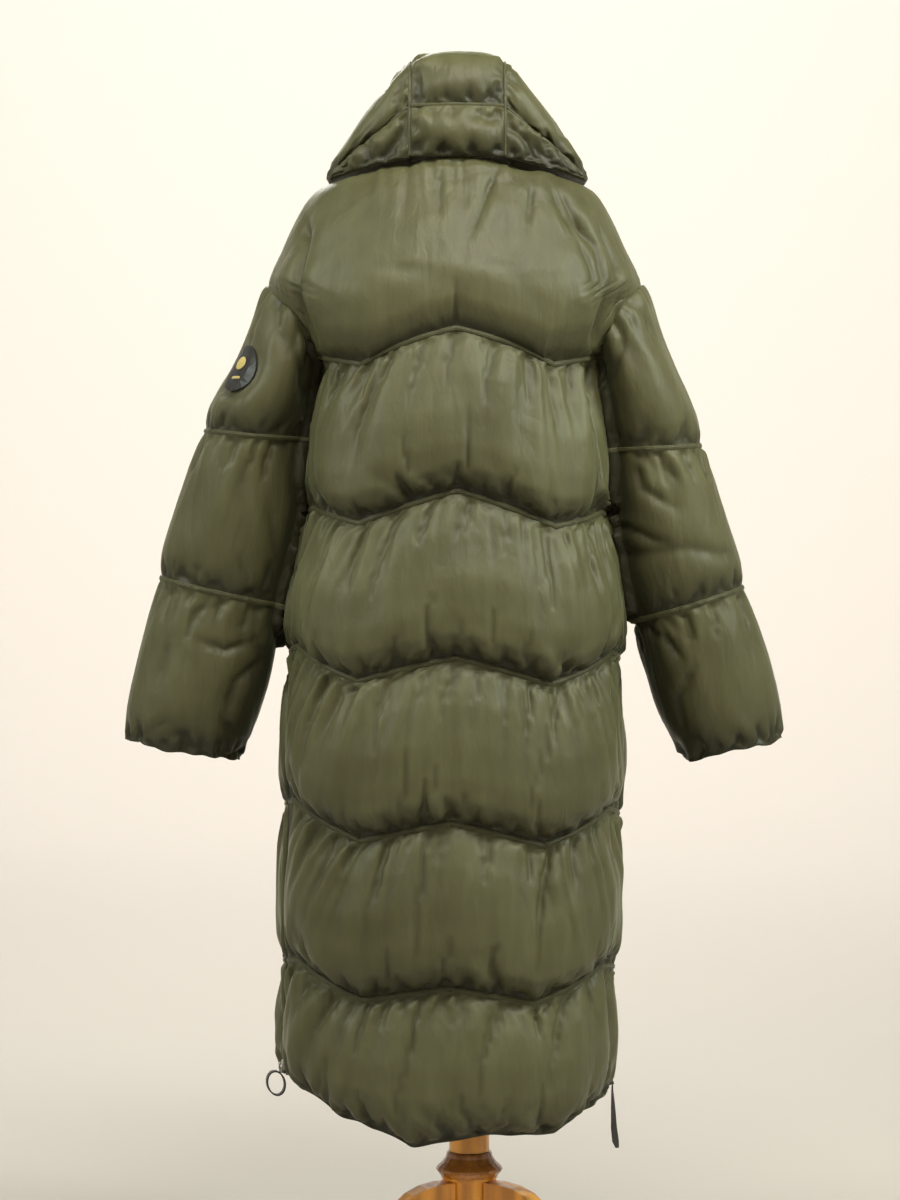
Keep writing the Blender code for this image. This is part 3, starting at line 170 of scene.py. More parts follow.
INNER_STEP = 8              # the plain inside takes every eighth row
# the padding
LEAST_CLOTH = 0.0016        # the cloth is nowhere thinner than this
PAD_SAMPLES, PAD_REACH = 201, 12
SIDE_FROM, SIDE_OVER = 0.70, 0.30         # where the body's padding thins, as a sine of the angle
ARMPIT_FROM, ARMPIT_OVER = 1.8, 0.4       # tiers over which a sleeve's inner side fills again
ARMPIT_FLAT = 0.85          # share of its padding that the inner side loses above them
SIDE_FILL = 0.0065          # least padding over the side seams above the zips
ARM_FILL = 0.0055           # padding at the armhole, level with the sleeve's edge
YOKE_CALM = 0.24            # share of the yoke's width, from the armhole, that lies calm
YOKE_EDGE_FALL = 0.50       # share of its padding that it loses there
YOKE_EDGE_STEEP = 8.0       # its least padding is full an eighth of its height from both ends
SLEEVE_FLOOR = 0.0036       # padding left at the sleeves' seams, so that they pinch in less
BADGE_CALM, BADGE_FADE, BADGE_SINK = 0.037, 0.012, 0.0016
HOOD_ROOM, HOOD_FULL, HOOD_ROUND = 0.0035, 0.0088, 0.55   # room, padding and the power that rounds it
STRIP_SQUARE, PANEL_ENDS = 6, 6.0         # how steeply the hood's padding falls at its upright edges
BAND_HALF = 0.0031          # half the width of a stitched seam's flat band
# the folds
CREASE_BROAD = (0.75, 1.4)  # share of a single crease's depth and width before the filling
CREASE_FINE = (0.45, 0.6)   # and what is added after it
CREASE_ENDS = 0.35          # share of its depth left at a crease's two ends
FOLD_SIZES, FOLD_GAPS = (0.35, 1.3), (0.5, 1.6)   # shares of a set's plain depth and spacing
FOLD_WIDER = 1.3            # share by which a fold is wider at its reach
FOLD_DIES = 2.2             # how soon it dies out there
RIDGE_AWAY = 1.45           # the ridge beside a fold, in half widths from its middle
CALM_WIDE = 1.6             # the calm middle is one part in this of the width
START_FOLDS = 0.35          # share of the broad folds that the filling starts with
CLUMPS, CLUMP_SIZE, CLUMP_RISE = 9, (0.060, 0.140), 0.0009
END_WAVES, END_REACH, END_SHIFT, END_SWELL = 9, 0.024, 0.0018, 0.0007
END_TURNS, END_MORE = (3, 15), 5          # waves round a hem or a cuff, and how many more swell it
FOLD_FADE, CLUMP_FADE, END_FADE = 0.03, 0.04, 0.02
FINE_EDGE = 4.0             # fine folds fade over this many columns at an upright edge
STREAK_LEAST, STREAK_REACH = 0.30, 0.045  # the fine streaks' least strength, and reach from a seam
STREAK_TOP = 0.8            # distance from the upper seam counts for this share
# the filling
FILL_STEPS = 220
FILL_PUSH = 0.00002         # how far the down pushes the cloth out in a step
FILL_DRAG = 0.90            # share of the last step's move that goes on
FILL_PRESS = 0.5            # share of its rise past its room that the cloth loses in a step
ROOM = 0.0030               # how far the cloth may rise past its plain puff
ROOM_LOW, ROOM_TOP = 0.22, 0.55           # shares of a tier's height over which that room grows
SPARE_SEAM, SPARE_MIDDLE = 0.075, 0.035   # share of spare width at a seam and half way between two
SPARE_UP = 0.015            # share of spare height
# shares of that spare width which the other pieces have
YOKE_SPARE, SLEEVE_SPARE, STRIP_SPARE, PANEL_SPARE = 0.55, 0.75, 0.6, 1.1
YOKE_HELD_SPARE, YOKE_HELD_ROOM = 0.15, 0.2   # and what the yoke keeps of it and of its room at an armhole
THREAD_HOLD, SLANT_HOLD = 0.9, 0.30       # share of a thread's stretch taken back in a step
BEND_ROUND, BEND_UP = 0.03, 0.10          # and of a fold's bend
SLANT_SPARE, BEND_SPARE = 0.55, 0.6       # shares of the spare width on a slant and over two steps
# the sleeves beside the body
LEAN_REACH, LEAN_CLEAR, LEAN_MOST = 0.034, 0.0006, 0.018
LEAN_FADE, LEAN_THIN = 0.006, 0.0012
# painted shade: the cloth's colour darkened in the folds' hollows, low in each tier and on a sleeve's side
# beside the body
PAINTED_SHADE_PASSES, PAINTED_FOLD_SHADE, PAINTED_SHADE_RISE = 16, 0.11, 0.0012
PAINTED_RIDGE_HIGHLIGHT = 0.6         # painted highlight: a ridge brightens by this share of what the painted shade darkens a hollow
# painted shade low in each tier and on a sleeve's side that faces the body
PAINTED_LOW_SHADE, PAINTED_LOW_SHADE_REACH, PAINTED_SIDE_SHADE = 0.44, 0.035, 0.38
PAINTED_SIDE_SHADE_FROM, PAINTED_SIDE_SHADE_OVER = 0.15, 0.6      # how far a sleeve's side has to face the body for its painted shade
# painted shade along a sleeve's edge nearest the body, and the share of its width that it covers
PAINTED_EDGE_SHADE, PAINTED_EDGE_SHADE_SHARE = 0.50, 0.20


# ---------------------------------------------------------------- small tools
def read(table, names, key, name):
    """One column of a table at `key`, smoothly between rows, straight beyond the ends."""
    rows = np.array(table, float)
    places, values = rows[:, 0], rows[:, names.index(name)]
    slopes = np.empty_like(values)
    slopes[1:-1] = (values[2:] - values[:-2]) / (places[2:] - places[:-2])
    slopes[0] = (values[1] - values[0]) / (places[1] - places[0])
    slopes[-1] = (values[-1] - values[-2]) / (places[-1] - places[-2])
    key = np.asarray(key, float)
    i = np.clip(np.searchsorted(places, key) - 1, 0, len(places) - 2)
    span = places[i + 1] - places[i]
    t = (key - places[i]) / span
    h = np.clip(t, 0.0, 1.0)
    square, cube = h * h, h * h * h
    inside = ((2 * cube - 3 * square + 1) * values[i] + (cube - 2 * square + h) * span * slopes[i]
              + (3 * square - 2 * cube) * values[i + 1] + (cube - square) * span * slopes[i + 1])
    return (inside + slopes[i] * np.minimum(key - places[i], 0.0)
            + slopes[i + 1] * np.maximum(key - places[i + 1], 0.0))


def smooth(x):
    x = np.clip(x, 0.0, 1.0)
    return x * x * (3.0 - 2.0 * x)


def signed_power(value, power):
    return np.sign(value) * np.abs(value) ** power


def stack(x, y, z):
    return np.stack(np.broadcast_arrays(x, y, z), axis=-1)


def unit(v):
    return v / np.maximum(np.linalg.norm(v, axis=-1, keepdims=True), 1e-12)


def facing(surface, a, b, step_a, step_b):
    """The unit normal of a surface, from four points beside each place."""
    across = surface(a + step_a, b) - surface(a - step_a, b)
    along = surface(a, b + step_b) - surface(a, b - step_b)
    return unit(np.cross(across, along))


def fade_ends(along, reach):
    """1 in the middle of each row, falling to 0 over `reach` at both of its ends."""
    return smooth(along / reach) * smooth((along[:, -1:] - along) / reach)


def at_least(least, share):
    """A share from 0 to 1 turned into one from `least` to 1."""
    return least + (1.0 - least) * share


def side_name(sign):
    return "left" if sign < 0 else "right"


def toward(sign, way):
    """A direction written for the right side, turned over for the left."""
    x, y, z = way
    return np.array([sign * x, y, z])


# ---------------------------------------------------------------- the body's surface
def body_at(run, name):
    return read(BODY, BODY_COLUMNS, run, name)


def body(deg, run):
    """The inside of the coat's body: angle from centre back, and height up the side."""
    turn = np.radians(deg)
    sine, cosine = np.sin(turn), np.cos(turn)
    back = cosine > 0
    depth = np.where(back, body_at(run, "back"), body_at(run, "front"))
    side_z = body_at(run, "side_z")
    middle_z = np.where(back, body_at(run, "back_z"), body_at(run, "front_z"))
    return stack(body_at(run, "centre_x") + body_at(run, "half_width") * signed_power(sine, SQUARENESS),
                 -depth * signed_power(cosine, SQUARENESS), side_z + (middle_z - side_z) * cosine ** 2)


def body_out(deg, run):
    out = facing(body, deg, run, *BODY_PROBE)
    out[..., 2] = np.maximum(out[..., 2], 0.0)
    return unit(out)


def side_seam(sign, run):
    """Angle of a side seam, which turns under the arm as it rises."""
    low, high = SIDE_SEAM_TURN
    lower = SIDE_SEAM_RIGHT if sign > 0 else SIDE_SEAM_LEFT
    return lower + (sign * 90.0 - lower) * smooth((np.asarray(run) - low) / (high - low))


def arc_radius(run):
    return body_at(np.minimum(run, ARM_TOP), "back") * BODY_ROUND


def degrees_across(run, distance):
    return np.degrees(distance / arc_radius(run))


def front_edge(run, distance):
    """The angle at which a front ends, `distance` from the middle of its zip."""
    return 180.0 - np.degrees(np.arcsin((distance / body_at(run, "half_width")) ** (1.0 / SQUARENESS)))


def seam_value(seam, name):
    return SEAMS[seam][SEAM_COLUMNS.index(name)]


def back_turns(seam):
    """The angles at which a chevron seam turns on the back."""
    low, peak = seam_value(seam, "low_deg"), seam_value(seam, "peak_deg")
    return [-peak, -low, 0.0, low, peak]


def seam_height(seam, deg):
    """Height of a chevron seam, or of the hem, all round the body."""
    deg = np.asarray(deg, float)
    if seam == 0:
        table = np.array(HEM)
        return np.interp(deg, table[:, 0], table[:, 1])
    low, peak = seam_value(seam, "low"), seam_value(seam, "peak")
    side = (90.0, ARM_LOW) if seam == TOP_SEAM else (FRONT_TURNS[0], (peak + low) / 2)
    table = np.array(((0.0, seam_value(seam, "centre")), (seam_value(seam, "low_deg"), low),
                      (seam_value(seam, "peak_deg"), peak), side, (FRONT_TURNS[1], peak),
                      (FRONT_TURNS[2], low), (180.0, seam_value(seam, "front"))))
    return (np.interp(np.abs(deg), table[:, 0], table[:, 1])
            - seam_value(seam, "tilt") * np.sin(np.radians(deg)))


def tier_rows(height):
    """Row fractions of a tier: its band's edge at both ends and even steps between."""
    edge = BAND_HALF / height
    inner = max(LEAST_ROWS, round(height / CLOTH_RISE))
    return np.concatenate([[0.0], np.linspace(edge, 1.0 - edge, inner), [1.0]])


def column_places(per_span):
    """For each column, the span it stands in and how far along it, each span cut into its own steps."""
    places = np.array([0.0] + [k + (j + 1) / count for k, count in enumerate(per_span) for j in range(count)])
    first = np.minimum(places.astype(int), len(per_span) - 1)
    return first, places - first


def relaxed(run, rows):
    """Rows that lose the chevron's corners as they leave the seams."""
    made = run.copy()
    for r, share in enumerate(rows):
        reach = round(RELAX_REACH * math.sin(math.pi * share) ** 2)
        if reach > 0:
            line = run[r]
            ends = (2.0 * line[0] - line[reach:0:-1], 2.0 * line[-1] - line[-2:-reach - 2:-1])
            kernel = np.hanning(2 * reach + 3)[1:-1]
            made[r] = np.convolve(np.concatenate([ends[0], line, ends[1]]), kernel / kernel.sum(), "valid")
    return made


def tier_limits(run, sign, back, keep):
    """Angles of a tier's two upright edges at each height."""
    inset = degrees_across(run, keep)
    if back:
        return side_seam(-1, run) + inset, side_seam(1, run) - inset
    return np.abs(side_seam(sign, run)) + inset, front_edge(run, ZIP_HALF + GAP)


def tier_grid(seam, sign, back, rows, per_span, keep):
    """Angles and heights of a tier's points between two chevron seams."""
    low_turns = back_turns(seam) if back else FRONT_TURNS
    high_turns = back_turns(seam + 1) if back else FRONT_TURNS
    first, part = column_places(per_span)

    def spread(turns, level):
        start, end = tier_limits(level, sign, back, keep)
        stops = np.array([start, *turns, end], float)
        return stops[first] + (stops[first + 1] - stops[first]) * part

    lows = spread(low_turns, seam_value(seam, "peak"))
    highs = spread(high_turns, seam_value(seam + 1, "peak"))
    bottom = seam_height(seam, sign * lows) + GAP / 2
    top = seam_height(seam + 1, sign * highs) - GAP / 2
    row = rows[:, None]
    run = relaxed(bottom[None] + (top - bottom)[None] * row, rows)
    start, end = tier_limits(run, sign, back, keep)
    turns = [np.full_like(run, a) + (b - a) * row for a, b in zip(low_turns, high_turns)]
    stops = np.stack([start, *turns, end])
    level, column = np.indices(run.shape)
    low_stop, high_stop = stops[first[column], level, column], stops[first[column] + 1, level, column]
    return sign * (low_stop + (high_stop - low_stop) * part[column]), run


def armhole(sign, turn, grow=0.0):
    """Angle and height round an armhole, or round a line `grow` metres outside it."""
    deg = sign * (90.0 - ARM_SPREAD * (1.0 + 0.6 * grow / ARM_HALF) * np.sin(turn))
    return deg, ARM_MIDDLE + ARM_HALF * (1.0 + grow / ARM_HALF) * np.cos(turn)


def arm_edge(run, back):
    """Angle of the armhole's edge at a height."""
    off = np.minimum(1.0, np.abs(run - ARM_MIDDLE) / ARM_HALF)
    reach = ARM_SPREAD * np.sqrt(np.maximum(0.0, 1.0 - off * off))
    return 90.0 - reach if back else 90.0 + reach


def yoke_stops(back, front_end):
    """The angles at which the seam under a top tier turns, and the tier's two ends."""
    return [-90.0, *back_turns(TOP_SEAM), 90.0] if back else [90.0, *FRONT_TURNS, front_end]


def yoke_grid(sign, back, rows, per_span):
    """Angles and heights of a top tier: past the armhole, then along the shoulder."""
    zip_edge = float(front_edge(seam_value(TOP_SEAM, "front"), ZIP_HALF + GAP))
    stops = np.array(yoke_stops(back, zip_edge))
    first, part = column_places(per_span)
    turns = stops[first] + (stops[first + 1] - stops[first]) * part
    bottom = seam_height(TOP_SEAM, sign * turns)[None] + GAP / 2
    row = rows[:, None]
    run = bottom + (NECK_RUN - bottom) * row
    edge_run = ARM_LOW + (NECK_RUN - ARM_LOW) * row + 0.0 * run
    edge = arm_edge(edge_run, back)
    keep = degrees_across(edge_run, GAP / 2)
    share = ((turns - turns[0]) / (turns[-1] - turns[0]))[None]
    near = np.minimum(1.0, row / YOKE_EDGE_START)
    if back:
        near = near * np.abs(2.0 * share - 1.0) ** YOKE_EDGE_POWER
        deg = (2.0 * share - 1.0) * (edge - keep)
    else:
        near = near * (1.0 - share) ** YOKE_EDGE_POWER
        deg = edge + keep + (front_edge(run, ZIP_HALF + GAP) - edge - keep) * share
    return sign * deg, run + (edge_run - run) * near


# ---------------------------------------------------------------- sleeves' and hood's surfaces
def sleeve_ring(table, sign, phi, place):
    """A point on a sleeve's plain oval, `phi` degrees round it from the side away from the body."""
    out, forward, height, half_width, half_depth, lean_deg = (
        read(table, SLEEVE_COLUMNS, place, name) for name in SLEEVE_COLUMNS[1:])
    turn, slope = np.radians(phi), np.radians(lean_deg)
    wide = half_width * np.cos(turn)
    return stack(sign * (out + np.cos(slope) * wide), forward - half_depth * np.sin(turn),
                 height + np.sin(slope) * wide)


def arm_ring(sign, phi):
    """The sleeve's first ring, lying on the coat round the armhole."""
    turn = np.radians(phi)
    deg, run = armhole(sign, turn)
    lift = SEAM_WALL + SLEEVE_CLEAR + ARMPIT_CLEAR * np.maximum(0.0, -np.cos(turn))
    return body(deg, run) + body_out(deg, run) * lift[..., None]


def sleeve(table, sign, phi, place):
    phi, place = np.broadcast_arrays(np.asarray(phi, float), np.asarray(place, float))
    ring = sleeve_ring(table, sign, phi, place)
    share = smooth(place / SLEEVE_HEAD)[..., None]
    return arm_ring(sign, phi) * (1.0 - share) + ring * share


def sleeve_out(table, sign, phi, place):
    held = np.maximum(place, SLEEVE_FACE_FROM)
    return facing(lambda a, b: sleeve(table, sign, a, b), phi, held, *SLEEVE_PROBE) * sign


def strip_at(place, name):
    return read(STRIP, STRIP_COLUMNS, place, name)


def strip_point(across, place):
    """A point on the hood's centre strip: -1 to 1 across it, 0 at the neck and 1 at the front."""
    y, z = strip_at(place, "y"), strip_at(place, "z")
    bow = strip_at(place, "bow") * (1.0 - across * across)
    ahead, up = (strip_at(place + 0.01, name) - strip_at(place - 0.01, name) for name in ("y", "z"))
    length = np.hypot(ahead, up)
    return stack(across * STRIP_HALF, y - bow * up / length, z + bow * ahead / length)


def strip_out(across, place):
    return facing(strip_point, across, place, *STRIP_PROBE)


def foot_point(sign, place):
    """A point on the hood's lower edge, from centre back to the front."""
    x, y, z = (read(FOOT, FOOT_COLUMNS, place, name) for name in ("x", "y", "z"))
    return stack(sign * x, y, z)


def mix(a, b, share):
    return a + (b - a) * np.asarray(share)[..., None]


def slanting_seam(sign, along):
    """The seam between a side's two panels, from the centre strip down to the hood's corner."""
    along = np.asarray(along, float)
    start = strip_point(np.asarray(sign * STRIP_EDGE), np.asarray(STRIP_SEAM))
    corner = foot_point(sign, FOOT_CORNER) + np.array([0.0, 0.0, SIDE_LIFT])
    bow = (SIDE_BOW * np.sin(np.pi * along))[..., None]
    return mix(start, corner, along) + toward(sign, SIDE_BOW_WAY) * bow


def side_lower(sign, across, along):
    across, along = np.broadcast_arrays(across, along)
    return mix(foot_point(sign, FOOT_CORNER * along), slanting_seam(sign, along), across)


def side_upper(sign, across, along):
    across, along = np.broadcast_arrays(across, along)
    inner = strip_point(sign * STRIP_EDGE + 0.0 * along, STRIP_SEAM + (1.0 - STRIP_SEAM) * along)
    slant = slanting_seam(sign, np.sqrt(smooth(along / SIDE_SLANT)))
    past = smooth((along - SIDE_SLANT) / (1.0 - SIDE_SLANT))
    brim = foot_point(sign, FOOT_CORNER + (1.0 - FOOT_CORNER) * past) + np.array([0.0, 0.0, SIDE_LIFT])
    outer = np.where((along < SIDE_SLANT)[..., None], slant, brim)
    hollow = SIDE_BELLY * np.sin(np.pi * across) * smooth(along / SIDE_SLANT)
    return mix(outer, inner, across) + toward(sign, SIDE_BELLY_WAY) * hollow[..., None]


# ---------------------------------------------------------------- quilted pieces before they are filled
PAD_ROWS = np.array([0.0, 0.02, 0.06, 0.14, 0.30, 0.52, 0.76, 0.92, 0.98, 1.0])
PAD_RISE = np.array([0.0, 0.22, 0.58, 0.90, 1.0, 0.90, 0.60, 0.27, 0.08, 0.0])
HEM_PAD_RISE = np.array([0.16, 0.42, 0.62, 0.84, 1.0, 0.90, 0.60, 0.27, 0.08, 0.0])
CUFF_PAD_RISE = np.array([0.42, 0.60, 0.72, 0.86, 1.0, 0.92, 0.66, 0.32, 0.10, 0.0])
SLEEVE_PAD_RISE = np.array([0.0, 0.20, 0.48, 0.74, 0.94, 1.0, 0.78, 0.42, 0.14, 0.0])
YOKE_PAD_ROWS = np.array([0.0, 0.02, 0.05, 0.12, 0.25, 0.45, 0.63, 0.75, 0.87, 0.97, 1.0])
YOKE_PAD_RISE = np.array([0.0, 0.20, 0.45, 0.80, 0.92, 0.62, 0.36, 0.22, 0.18, 0.10, 0.0])


def pad_curve(rows, places, rises):
    """Rise over a piece's height, flat in the seam's margin at both ends."""
    margin, reach = rows[1], PAD_REACH
    rows = np.clip((rows - margin) / (1.0 - 2.0 * margin), 0.0, 1.0)
    fine = np.linspace(0.0, 1.0, PAD_SAMPLES)
    values = np.interp(fine, places, rises)
    kernel = np.hanning(reach + 1)
    ends = (2 * values[0] - values[reach:0:-1], 2 * values[-1] - values[-2:-reach - 2:-1])
    padded = np.concatenate([ends[0], values, ends[1]])
    values = np.convolve(padded, kernel / kernel.sum(), "same")[reach:-reach]
    return np.maximum(0.0, np.interp(rows, fine, values))


def puff_allowed(deg, run):
    """Padding at an angle: full on the back, less on the sides, none at upright edges."""
    across = np.abs(np.sin(np.radians(deg)))
    full = np.where(np.abs(deg) < 90.0, BACK_PUFF, FRONT_PUFF)
    amount = full + (SIDE_PUFF - full) * smooth((across - SIDE_FROM) / SIDE_OVER)
    nearest = np.minimum(np.abs(deg - deg[:, :1]), np.abs(deg - deg[:, -1:]))
    return amount * (1.0 - np.exp(-np.radians(nearest) * arc_radius(run) / EDGE_RISE))


def fan_folds(rng, along, away, width, kind):
    """Straight folds that leave a seam in a fan; `along` and `away` are distances in metres."""
    field = np.zeros_like(along)
    place = rng.uniform(0.0, kind.spacing)
    while place < width:
        half = rng.uniform(*kind.half)
        long = rng.uniform(*kind.reach)
        off_centre = abs(2.0 * place / width - 1.0)
        calm = at_least(kind.calm, min(1.0, CALM_WIDE * off_centre))
        deep = kind.depth * rng.uniform(*FOLD_SIZES) * calm
        slant = kind.fan * (2.0 * place / width - 1.0) + rng.normal(0.0, kind.stray)
        side = rng.choice([-1.0, 1.0])
        share = away / long
        off = (along - place - slant * away) / (half * (1.0 + FOLD_WIDER * share))
        fold = np.exp(-off * off) - kind.ridge * np.exp(-(off - side * RIDGE_AWAY) ** 2)
        field -= deep * fold * np.exp(-FOLD_DIES * share ** 2)
        place += kind.spacing * rng.uniform(*FOLD_GAPS)
    return field * smooth(away / kind.start)


class Fan:
    """How one set of folds looks: depth, spacing, reach, half width and start in metres, fan and stray as
    slopes, ridge as the share of a rise beside each fold, calm as the share of depth left at the middle."""

    def __init__(self, depth, spacing, reach, half=(0.0026, 0.0044), fan=0.34, stray=0.10, ridge=0.7,
                 start=0.006, calm=1.0):
        self.depth, self.spacing, self.reach, self.half = depth, spacing, reach, half
        self.fan, self.stray, self.ridge, self.start, self.calm = fan, stray, ridge, start, calm


FROM_TOP = Fan(0.0034, 0.0115, (0.050, 0.210), (0.0028, 0.0056), 0.42, 0.09, 0.8, calm=0.22)
FROM_LOW = Fan(0.0042, 0.0135, (0.016, 0.062), (0.0032, 0.0068), 0.10, 0.30, 0.6)
BROAD_TOP = Fan(0.0062, 0.0310, (0.090, 0.240), (0.0070, 0.0140), 0.42, 0.10, 0.6, 0.012, 0.45)
BROAD_LOW = Fan(0.0074, 0.0280, (0.028, 0.074), (0.0060, 0.0110), 0.0, 0.30, 0.5, 0.008)
HEM_TOP = Fan(0.0020, 0.0110, (0.020, 0.120), (0.0030, 0.0054), 0.20, 0.30, 0.6)
HEM_LOW = Fan(0.0030, 0.0130, (0.020, 0.090), (0.0030, 0.0062), 0.10, 0.50, 0.6)
YOKE_TOP = Fan(0.0014, 0.0100, (0.060, 0.240), (0.0028, 0.0050), 0.22, 0.05, 0.5)
YOKE_LOW = Fan(0.0018, 0.0130, (0.012, 0.034), (0.0028, 0.0050), 0.10, 0.25, 0.6)
YOKE_BROAD = Fan(0.0018, 0.0360, (0.120, 0.260), (0.0080, 0.0150), 0.22, 0.05, 0.4, 0.012)
SLEEVE_TOP = Fan(0.0016, 0.0115, (0.025, 0.120), (0.0030, 0.0054), 0.0, 0.22, 0.5)
SLEEVE_LOW = Fan(0.0024, 0.0125, (0.014, 0.050), (0.0028, 0.0058), 0.0, 0.30, 0.6)
SLEEVE_BROAD = Fan(0.0040, 0.0290, (0.050, 0.150), (0.0070, 0.0130), 0.0, 0.28, 0.5, 0.010)
SLEEVE_BROAD_LOW = Fan(0.0045, 0.0290, (0.030, 0.060), (0.0055, 0.0105), 0.0, 0.40, 0.5, 0.008)
HOOD_FINE = Fan(0.0022, 0.0085, (0.012, 0.034), (0.0026, 0.0042), 0.0, 0.26, 0.6)
HOOD_BROAD = Fan(0.0058, 0.0210, (0.025, 0.060), (0.0050, 0.0085), 0.0, 0.40, 0.5)
NOTHING = Fan(0.0, 0.2, (0.05, 0.06))


def crease(points, path, depth, half, taper=0.02):
    """A trough along a path of (x, z) places, seen from behind."""
    x, z = points[..., 0], points[..., 2]
    best = np.full(x.shape, 1e9)
    total = sum(math.dist(a, b) for a, b in zip(path, path[1:]))
    done = 0.0
    share = np.zeros_like(best)
    for a, b in zip(path, path[1:]):
        dx, dz = b[0] - a[0], b[1] - a[1]
        size = math.hypot(dx, dz)
        t = np.clip(((x - a[0]) * dx + (z - a[1]) * dz) / size ** 2, 0.0, 1.0)
        away = np.hypot(x - a[0] - t * dx, z - a[1] - t * dz)
        nearer = away < best
        best = np.where(nearer, away, best)
        share = np.where(nearer, done + t * size, share)
        done += size
    ends = smooth(share / taper) * smooth((total - share) / taper)
    return -depth * np.exp(-(best / half) ** 2) * at_least(CREASE_ENDS, ends)


def in_millimetres(*rows):
    """Single creases: depth, half width, then the x and z of each place that the crease runs through."""
    rows = [[value / 1000.0 for value in row] for row in rows]
    return [(list(zip(row[2::2], row[3::2])), row[0], row[1]) for row in rows]


class Cloth:
    """One piece's grid: its inside, the way out, the rise over it and what the sewing holds."""

    def __init__(self, name, inside, out, rise, closed=False, spare=1.0):
        self.name, self.inside, self.out, self.rise = name, inside, out, rise
        self.closed, self.spare = closed, spare * np.ones(rise.shape)
        height = np.linspace(0.0, 1.0, len(rise))
        self.room = ROOM * (smooth(height / ROOM_LOW) * smooth((1.0 - height) / ROOM_TOP))[:, None]
        self.room = self.room * np.ones(rise.shape)
        self.smooth = inside + out * rise[..., None]
        self.outside = self.smooth.copy()
        held = np.zeros(rise.shape, bool)
        held[:2], held[-2:] = True, True
        if not closed:
            held[:, :1], held[:, -1:] = True, True
        self.held = held
        self.lively = np.ones(rise.shape)
        self.upright = False
        self.creases = ()
        self.free_end = False
        self.gathered_ends = False

    def roughen(self, field):
        """Start folds that the filling then works on."""
        self.outside = self.outside + self.out * field[..., None] * (~self.held)[..., None]

    def fold_in(self, creases):
        """Single creases seen in the photo: pressed in broadly now, sharpened by refine()."""
        self.creases = creases
        self.press(crease_field(self, *CREASE_BROAD))

    def press(self, field):
        """Change the piece's plain shape for good."""
        shaped = np.maximum(LEAST_CLOTH, self.rise + field * (~self.held))
        change = (shaped - self.rise)[..., None] * self.out
        self.rise, self.smooth, self.outside = shaped, self.smooth + change, self.outside + change


def crease_field(cloth, deeper, wider):
    """All of a piece's single creases, on the side that faces back."""
    field = np.zeros(cloth.rise.shape)
    for path, depth, half in cloth.creases:
        field += crease(cloth.inside, path, deeper * depth, wider * half)
    return field * smooth(-cloth.out[..., 1] / 0.25)


def heights(piece):
    """How far a piece's outside stands from its inside."""
    return np.einsum("ijk,ijk->ij", piece.outside - piece.inside, piece.out)


def arc_lengths(points):
    """Distance along each row of a grid from the row's start."""
    steps = np.linalg.norm(np.diff(points, axis=1), axis=-1)
    return np.concatenate([np.zeros((len(points), 1)), np.cumsum(steps, axis=1)], axis=1)


def rises_up(points):
    """Distance up each column of a grid from the column's foot."""
    steps = np.linalg.norm(np.diff(points, axis=0), axis=-1)
    return np.concatenate([np.zeros((1, points.shape[1])), np.cumsum(steps, axis=0)], axis=0)


def fold_field(cloth, top, low, seed):
    """Folds from a piece's two seams, as heights over its grid."""
    rng = np.random.default_rng(int(seed))
    along, up = arc_lengths(cloth.smooth), rises_up(cloth.smooth)
    if cloth.upright:
        along = cloth.inside[..., 0] - cloth.inside[..., 0].min()
    width = float(along[:, -1].mean())
    field = fan_folds(rng, along, up[-1:] - up, width, top) + fan_folds(rng, along, up, width, low)
    if cloth.gathered_ends:
        height = float(up[-1].mean())
        field += (fan_folds(rng, up, along, height, low)
                  + fan_folds(rng, up, along[:, -1:] - along, height, top))
    if cloth.closed:
        field *= fade_ends(along, FOLD_FADE)
    return field * cloth.lively


def dress(cloth, seed, top, low, fine_top, fine_low):
    """Lay in the broad folds that the filling works on, and note the fine ones for afterwards."""
    broad = fold_field(cloth, top, low, seed)
    cloth.press(broad + uneven(cloth, seed + 2))
    cloth.roughen(START_FOLDS * broad)
    cloth.fine = (fine_top, fine_low, seed + 1)


def uneven(cloth, seed):
    """The down's own unevenness: soft hills and hollows a few centimetres across."""
    rng = np.random.default_rng(int(seed))
    along, up = arc_lengths(cloth.smooth), rises_up(cloth.smooth)
    field = np.zeros_like(along)
    for _ in range(CLUMPS):
        turn, size, phase = rng.uniform(0.0, math.tau), rng.uniform(*CLUMP_SIZE), rng.uniform(0.0, math.tau)
        field += np.sin((along * math.cos(turn) + up * math.sin(turn)) * math.tau / size + phase)
    away = np.minimum(up, up[-1:] - up)
    if cloth.closed:
        field *= fade_ends(along, CLUMP_FADE)
    return CLUMP_RISE * field / math.sqrt(CLUMPS) * smooth(away / 0.03) * cloth.lively


def halfway(grid, axis, closed):
    """A grid with a point put between each two along an axis, on a smooth curve."""
    grid = np.moveaxis(grid, axis, 0)
    if closed:
        middle = (9.0 * (grid + np.roll(grid, -1, 0)) - np.roll(grid, 1, 0) - np.roll(grid, -2, 0)) / 16.0
        made = np.empty((2 * len(grid), *grid.shape[1:]))
    else:
        middle = (grid[:-1] + grid[1:]) / 2.0
        middle[1:-1] = (9.0 * (grid[1:-2] + grid[2:-1]) - grid[:-3] - grid[3:]) / 16.0
        made = np.empty((2 * len(grid) - 1, *grid.shape[1:]))
    made[0::2], made[1::2] = grid, middle
    return np.moveaxis(made, 0, axis)


